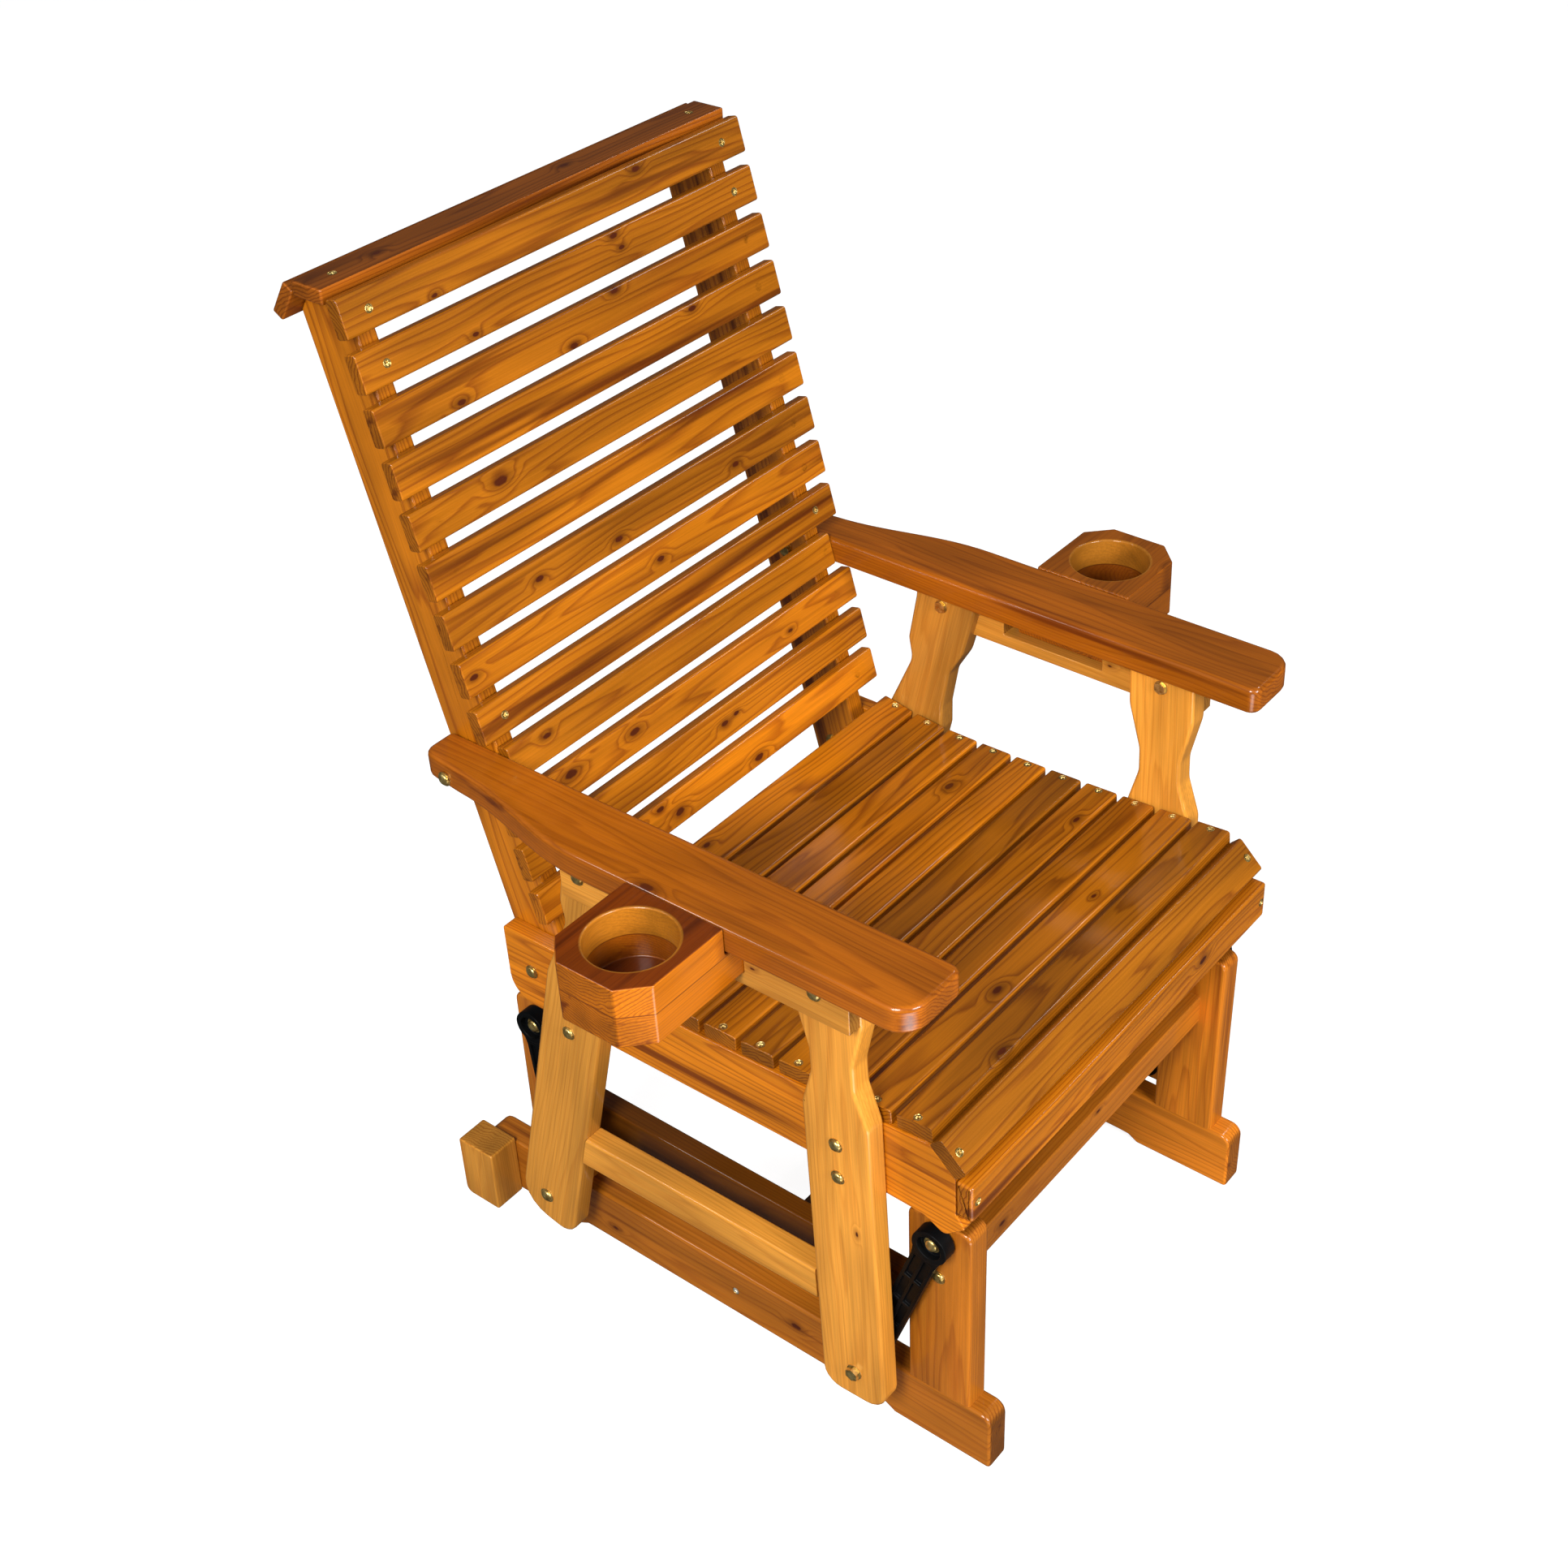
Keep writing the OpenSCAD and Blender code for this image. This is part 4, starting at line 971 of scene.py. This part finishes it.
@dataclass
class SlattedBack(BoardWork):
    """Two stiles, thirteen slats and the two cap boards."""

    slats: int = 13
    easing_mm: float = 1.2
    stile_easing_mm: float = 2.5
    rear_cap_easing_mm: float = 2.0
    knots: dict[int, tuple[Knot, ...]] = field(
        default_factory=lambda: {
            1: (Knot(-160, -14, 3), Knot(110, 12, 4)),
            2: (Knot(-130, -12, 3), Knot(60, 13, 4), Knot(66, 0, 3)),
            3: (Knot(-168, -12, 4), Knot(-24, -14, 4), Knot(43, 15, 4)),
            4: (Knot(134, 13, 4),),
            5: (Knot(-153, 4, 6),),
            7: (Knot(-145, 0, 4), Knot(-39, -8, 4), Knot(136, -5, 4)),
            8: (Knot(-250, 0, 4), Knot(5, 0, 4)),
            10: (Knot(-193, 6, 4),),
            11: (Knot(-180, 6, 6), Knot(-90, 4, 5), Knot(150, -4, 3)),
            12: (Knot(26, 0, 4), Knot(45, 2, 3)),
            13: (Knot(-88, 12, 4), Knot(-64, -4, 5), Knot(59, -9, 5)),
        }
    )

    def boards(self) -> list[Board]:
        """Lists the boards of the back."""
        soft, stile = Easing(self.easing_mm, segments=2), Easing(self.stile_easing_mm)
        cap_knots = (Knot(-180, 0, 4), Knot(60, 6, 4))
        boards = [Board(f"back_stile_{side}", AMBER, Lie.STILE, stile, 1.06) for side in SIDES]
        for i in range(1, self.slats + 1):
            node = f"back_slat_{i:02d}"
            # The slats grow a little paler towards the seat
            tone = random.Random("back" + node).uniform(0.80, 0.98) + 0.28 * i / self.slats
            boards.append(Board(node, AMBER, Lie.ACROSS_BACK, soft, tone, self.knots.get(i, ())))
        boards.append(Board("cap_board", UMBER, Lie.ACROSS_FLAT, stile, 1.0, cap_knots))
        rear_cap = Easing(self.rear_cap_easing_mm)
        boards.append(Board("rear_cap_board", UMBER, Lie.ACROSS_REAR_CAP, rear_cap, 0.95))
        return boards


@dataclass
class Armrests(BoardWork):
    """Armrests, the rails under them and the cup holders beside them."""

    easing_mm: float = 5.0
    rail_easing_mm: float = 1.5
    cup_easing_mm: float = 2.0
    glue_line: float = 0.593  # height where the two layers of a cup holder meet, in metres
    bore_in: float = 0.058  # from a cup holder's outer face to the middle of its hole
    bore_radius: float = 0.041
    arm_knots: dict[str, tuple[Knot, ...]] = field(default_factory=lambda: {"right": (Knot(-13, -33, 6),)})

    def cup_holder(self, side: str) -> Board:
        """Makes one cup holder. The two come from different boards: a reddish one and a browner one."""
        node = f"cup_holder_{side}"
        timber, tone = (COPPER, 1.0) if side == "right" else (RUSSET, 0.88)
        low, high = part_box(node)
        middle = low.x + self.bore_in if side == "right" else high.x - self.bore_in
        bore = Bore(middle, (low.y + high.y) / 2, self.bore_radius)
        easing, knots = Easing(self.cup_easing_mm), (Knot(40, -52, 4),)
        return Board(node, timber, Lie.ACROSS_FLAT, easing, tone, knots, self.glue_line, bore)

    def boards(self) -> list[Board]:
        """Lists the boards of the armrests."""
        arm, rail = Easing(self.easing_mm, segments=4), Easing(self.rail_easing_mm)
        rail_knots = (Knot(-60, 0, 3),)
        boards = []
        for side in SIDES:
            knots = self.arm_knots.get(side, ())
            boards.append(Board(f"armrest_{side}", RUSSET, Lie.RUNNING_FLAT, arm, 1.0, knots))
            boards.append(Board(f"arm_rail_{side}", HONEY, Lie.RUNNING_UPRIGHT, rail, 0.96, rail_knots))
            boards.append(self.cup_holder(side))
        return boards


@dataclass
class GliderLinks:
    """The four moulded links."""

    easing: Easing = field(default_factory=lambda: Easing(0.7, segments=2, smallest_mm=6.0))
    finish: MouldedResin = field(default_factory=MouldedResin)

    def build(self) -> list[Object]:
        """Eases and dresses the links."""
        material = self.finish.material()
        nodes = (f"{place}_link_{side}" for place in PLACES for side in SIDES)
        return [self.easing.dress(node, f"{node}_moulding", material) for node in nodes]


@dataclass(frozen=True)
class CrossHead:
    """Low domed screw head with a cross recess, as heights over a disc with a radius of 1."""

    dome: float = 0.14
    depth: float = 0.42
    arm: float = 0.17  # half width of an arm of the cross
    mouth: float = 1.4  # half width of the arm at the top, in arms
    slope: float = 0.6  # width of the recess's side wall, in arms
    reach: float = 0.60  # length of an arm
    run_out: float = 0.14  # length over which an arm ends
    rings: int = 11
    sectors: int = 36

    def height(self, x: float, y: float) -> float:
        """Height over the head's rim.

        Args:
            x: place along one arm of the cross, 1 at the rim.
            y: place along the other arm.

        Returns:
            The height, as a share of the head's radius.
        """
        off_arm, out = min(abs(x), abs(y)), max(abs(x), abs(y))
        across = max(0.0, min(1.0, (self.arm * self.mouth - off_arm) / (self.arm * self.slope)))
        along = max(0.0, min(1.0, (self.reach - out) / self.run_out))
        return self.dome * (1 - x * x - y * y) - self.depth * across * along

    def draw(self, bm: BMesh, middle: Vector, normal: Vector, radius: float, turn: float, slot: int) -> None:
        """Adds the head's outer face.

        Args:
            bm: the mesh that takes it.
            middle: middle of the flat disc it stands for, which the dome just touches.
            normal: outward direction.
            radius: radius of the disc, in metres.
            turn: angle of the cross, in radians.
            slot: place of its finish among the piece's materials.
        """
        side = normal.orthogonal().normalized()
        other = normal.cross(side)
        centre = middle - normal * self.dome * radius
        crown = bm.verts.new(centre + normal * self.height(0, 0) * radius)
        inner: list[BMVert] = []
        for ring in range(1, self.rings + 1):
            reach = ring / self.rings
            outer = []
            for sector in range(self.sectors):
                angle = math.tau * sector / self.sectors
                x, y = reach * math.cos(angle), reach * math.sin(angle)
                at = side * math.cos(angle + turn) + other * math.sin(angle + turn)
                outer.append(bm.verts.new(centre + (at * reach + normal * self.height(x, y)) * radius))
            for k in range(self.sectors):
                after = (k + 1) % self.sectors
                rim = (outer[k], outer[after])
                face = bm.faces.new((inner[k], *rim, inner[after]) if inner else (crown, *rim))
                face.smooth = True
                face.material_index = slot
            inner = outer


@dataclass
class Fittings:
    """Bolts, nuts, washers and screws, with a cross recess in every round head."""

    # Each group, with the finish of its shanks and washers and that of its heads
    groups: tuple[tuple[str, PlatedSteel, PlatedSteel], ...] = (
        ("slat_screws", STRAW_ZINC, STRAW_ZINC),
        ("seat_bolts", STRAW_ZINC, SILVER_ZINC),
        ("base_fasteners", STRAW_ZINC, SILVER_ZINC),
    )
    head: CrossHead = field(default_factory=CrossHead)
    smallest_mm: float = 2.6  # radius of the smallest head
    least_corners: int = 12  # a face with fewer corners isn't round
    out_of_round: float = 0.03
    level_mm: float = 0.02  # how far anything may stand over a head
    sharp_from: float = 30.0

    def is_head(self, face: BMFace, verts: set[BMVert]) -> bool:
        """Says whether a face is the round outer end of the fitting that has these vertices."""
        if len(face.verts) < self.least_corners:
            return False
        centre = face.calc_center_median()
        reach = [(v.co - centre).length for v in face.verts]
        level = max((v.co - centre).dot(face.normal) for v in verts)
        is_round = max(reach) - min(reach) < self.out_of_round * max(reach)
        return is_round and min(reach) > self.smallest_mm * MM and level < self.level_mm * MM

    def discs(self, bm: BMesh) -> list[BMFace]:
        """Finds the heads of a group of fittings.

        Args:
            bm: the fittings' merged mesh.

        Returns:
            The heads' flat faces, in the mesh's own order.
        """
        found = []
        for group in groups_of(bm.edges):
            verts = {v for e in group for v in e.verts}
            found += [face for face in {f for v in verts for f in v.link_faces} if self.is_head(face, verts)]
        bm.faces.index_update()
        return sorted(found, key=lambda face: face.index)

    def piece(self, node: str, finishes: Iterable[Material]) -> Object:
        """Makes one group of fittings with its cross heads.

        Args:
            node: the CAD node.
            finishes: materials of its shanks and washers, and of its heads.

        Returns:
            The new piece.
        """
        bm = joined_copy(node)
        for face in bm.faces:
            face.smooth = True
        for edge in bm.edges:
            edge.smooth = edge.calc_face_angle(0.0) < math.radians(self.sharp_from)
        discs = self.discs(bm)
        rng = random.Random(node)
        for face in discs:
            centre = face.calc_center_median()
            radius = sum((v.co - centre).length for v in face.verts) / len(face.verts)
            self.head.draw(bm, centre, face.normal.copy(), radius, rng.uniform(0, math.pi / 2), 1)
        bmesh.ops.delete(bm, geom=discs, context="FACES_ONLY")
        obj = link_object(bm, f"{node}_heads")
        for finish in finishes:
            obj.data.materials.append(finish)
        LOG.info("%s: %d cross heads", node, len(discs))
        stand_for(obj, node)
        return obj

    def build(self) -> list[Object]:
        """Makes the groups of fittings."""
        made = {finish: finish.material() for finish in (STRAW_ZINC, SILVER_ZINC)}
        return [self.piece(node, (made[body], made[crown])) for node, body, crown in self.groups]


# ---------- studio


@dataclass(frozen=True)
class Softbox:
    """A square soft lamp that faces the chair."""

    name: str
    at: tuple[float, float, float]
    size: float
    watts: float

    def build(self, target: Vector) -> None:
        """Adds the lamp, turned to a point."""
        data = bpy.data.lights.new(self.name, "AREA")
        data.shape = "SQUARE"
        data.size = self.size
        data.energy = self.watts
        lamp = bpy.data.objects.new(self.name, data)
        lamp.location = self.at
        lamp.rotation_euler = (target - Vector(self.at)).to_track_quat("-Z", "Y").to_euler()
        bpy.context.scene.collection.objects.link(lamp)


@dataclass
class Studio:
    """Pale floor, soft lamps and the camera."""

    camera_at: tuple[float, float, float] = (-1.386, -1.1305, 1.849)
    looks_at: tuple[float, float, float] = (0.1516, 0.0191, 0.450)
    chair_middle: tuple[float, float, float] = (0.0, 0.0, 0.5)
    roll_degrees: float = -0.59
    lens_mm: float = 52.2
    shift: tuple[float, float] = (-0.073, -0.0165)
    floor_size: float = 30.0
    floor_colour: str = "#A0A0A0"
    floor_in_varnish: str = "#303030"
    floor_roughness: float = 0.9
    floor_glow: float = 0.88
    ambient: float = 0.24
    mirrored: float = 0.06
    # A glowing spot on the floor that only reflections show: a painted highlight on the upright edges
    card_at: tuple[float, float, float] = (-0.6, -0.9, 0.0)
    card_reach: float = 0.45
    card_glow: float = 6.5
    lamps: tuple[Softbox, ...] = (
        Softbox("front_softbox", (-0.5, -3.2, 1.9), 1.3, 104.0),
        Softbox("side_softbox", (-2.7, -0.8, 2.4), 1.2, 112.0),
        # Two small lamps that show only as bright lines on the eased edges
        Softbox("end_glint", (-2.0, 1.7, 2.7), 0.4, 10.0),
        Softbox("front_glint", (2.2, -0.5, 3.0), 0.5, 9.0),
    )

    def floor(self) -> None:
        """Makes the pale floor, which shows white and keeps the shadow."""
        bm = bmesh.new()
        bmesh.ops.create_grid(bm, x_segments=1, y_segments=1, size=self.floor_size)
        obj = link_object(bm, "studio_floor")
        material, graph, shader = new_material("matt_white_floor")
        shader["Roughness"].default_value = self.floor_roughness
        shader["Emission Color"].default_value = linear("#FFFFFF")
        seen, glossy = graph.add(Kind.CAMERA_RAY), graph.add(Kind.GLOSSY_RAY)
        # A painted highlight: a spot of the floor that glows only in the varnish's reflections, with no lamp
        # or card there; it draws the bright line on upright edges
        off_painted_glint = graph.add(Kind.DISTANCE, graph.add(Kind.COORDINATES), self.card_at)
        painted_glint = graph.add(Kind.SMOOTH_STEP, off_painted_glint, self.card_reach, 0.0, 0.0, self.card_glow)
        mirrored = graph.add(Kind.MULTIPLY, glossy, painted_glint)
        graph.feed(shader["Emission Strength"], graph.add(Kind.MULTIPLY_ADD, seen, self.floor_glow, mirrored))
        # Nearly black in the varnish, which keeps a whitish veil off the wood
        plain, dark = linear(self.floor_colour), linear(self.floor_in_varnish)
        graph.feed(shader["Base Color"], graph.add(Kind.BLEND, factor=glossy, a=plain, b=dark))
        obj.data.materials.append(material)

    def world(self) -> None:
        """Sets the surround: white to the camera, soft as a light, and dim in the varnish."""
        world = bpy.data.worlds.new("studio_world")
        world.use_nodes = True
        graph = Graph(world.node_tree)
        graph.tree.nodes.clear()
        lit = graph.add(Kind.RANGE, graph.add(Kind.GLOSSY_RAY), 0.0, 1.0, self.ambient, self.mirrored)
        strength = graph.add(Kind.LARGER, graph.add(Kind.CAMERA_RAY), lit)
        graph.add(Kind.SURROUND, graph.add(Kind.BACKGROUND, linear("#FFFFFF"), strength))
        bpy.context.scene.world = world

    def camera(self) -> None:
        """Adds the camera and makes it the scene's own."""
        data = bpy.data.cameras.new("studio_camera")
        data.lens = self.lens_mm
        data.sensor_width = 36.0
        data.shift_x, data.shift_y = self.shift
        camera = bpy.data.objects.new("studio_camera", data)
        at = Vector(self.camera_at)
        turn = (Vector(self.looks_at) - at).to_track_quat("-Z", "Y").to_matrix()
        roll = Matrix.Rotation(math.radians(self.roll_degrees), 3, "Z")
        camera.matrix_world = Matrix.Translation(at) @ (turn @ roll).to_4x4()
        bpy.context.scene.collection.objects.link(camera)
        bpy.context.scene.camera = camera

    def build(self) -> None:
        """Sets up the whole studio."""
        self.floor()
        self.world()
        for lamp in self.lamps:
            lamp.build(Vector(self.chair_middle))
        self.camera()
        bpy.context.scene.view_settings.view_transform = "Standard"


def main() -> None:
    """Builds the dressed chair, piece by piece, and its studio."""
    logging.basicConfig(level=logging.INFO, format="%(name)s: %(message)s")
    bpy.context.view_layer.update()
    parts = (StandingBase(), SeatFrame(), SlattedSeat(), SlattedBack(), Armrests(), GliderLinks(), Fittings())
    for part in parts:
        for obj in part.build():
            LOG.info("%s: %s, %d faces", type(part).__name__, obj.name, len(obj.data.polygons))
    Studio().build()


if __name__ == "__main__":
    main()
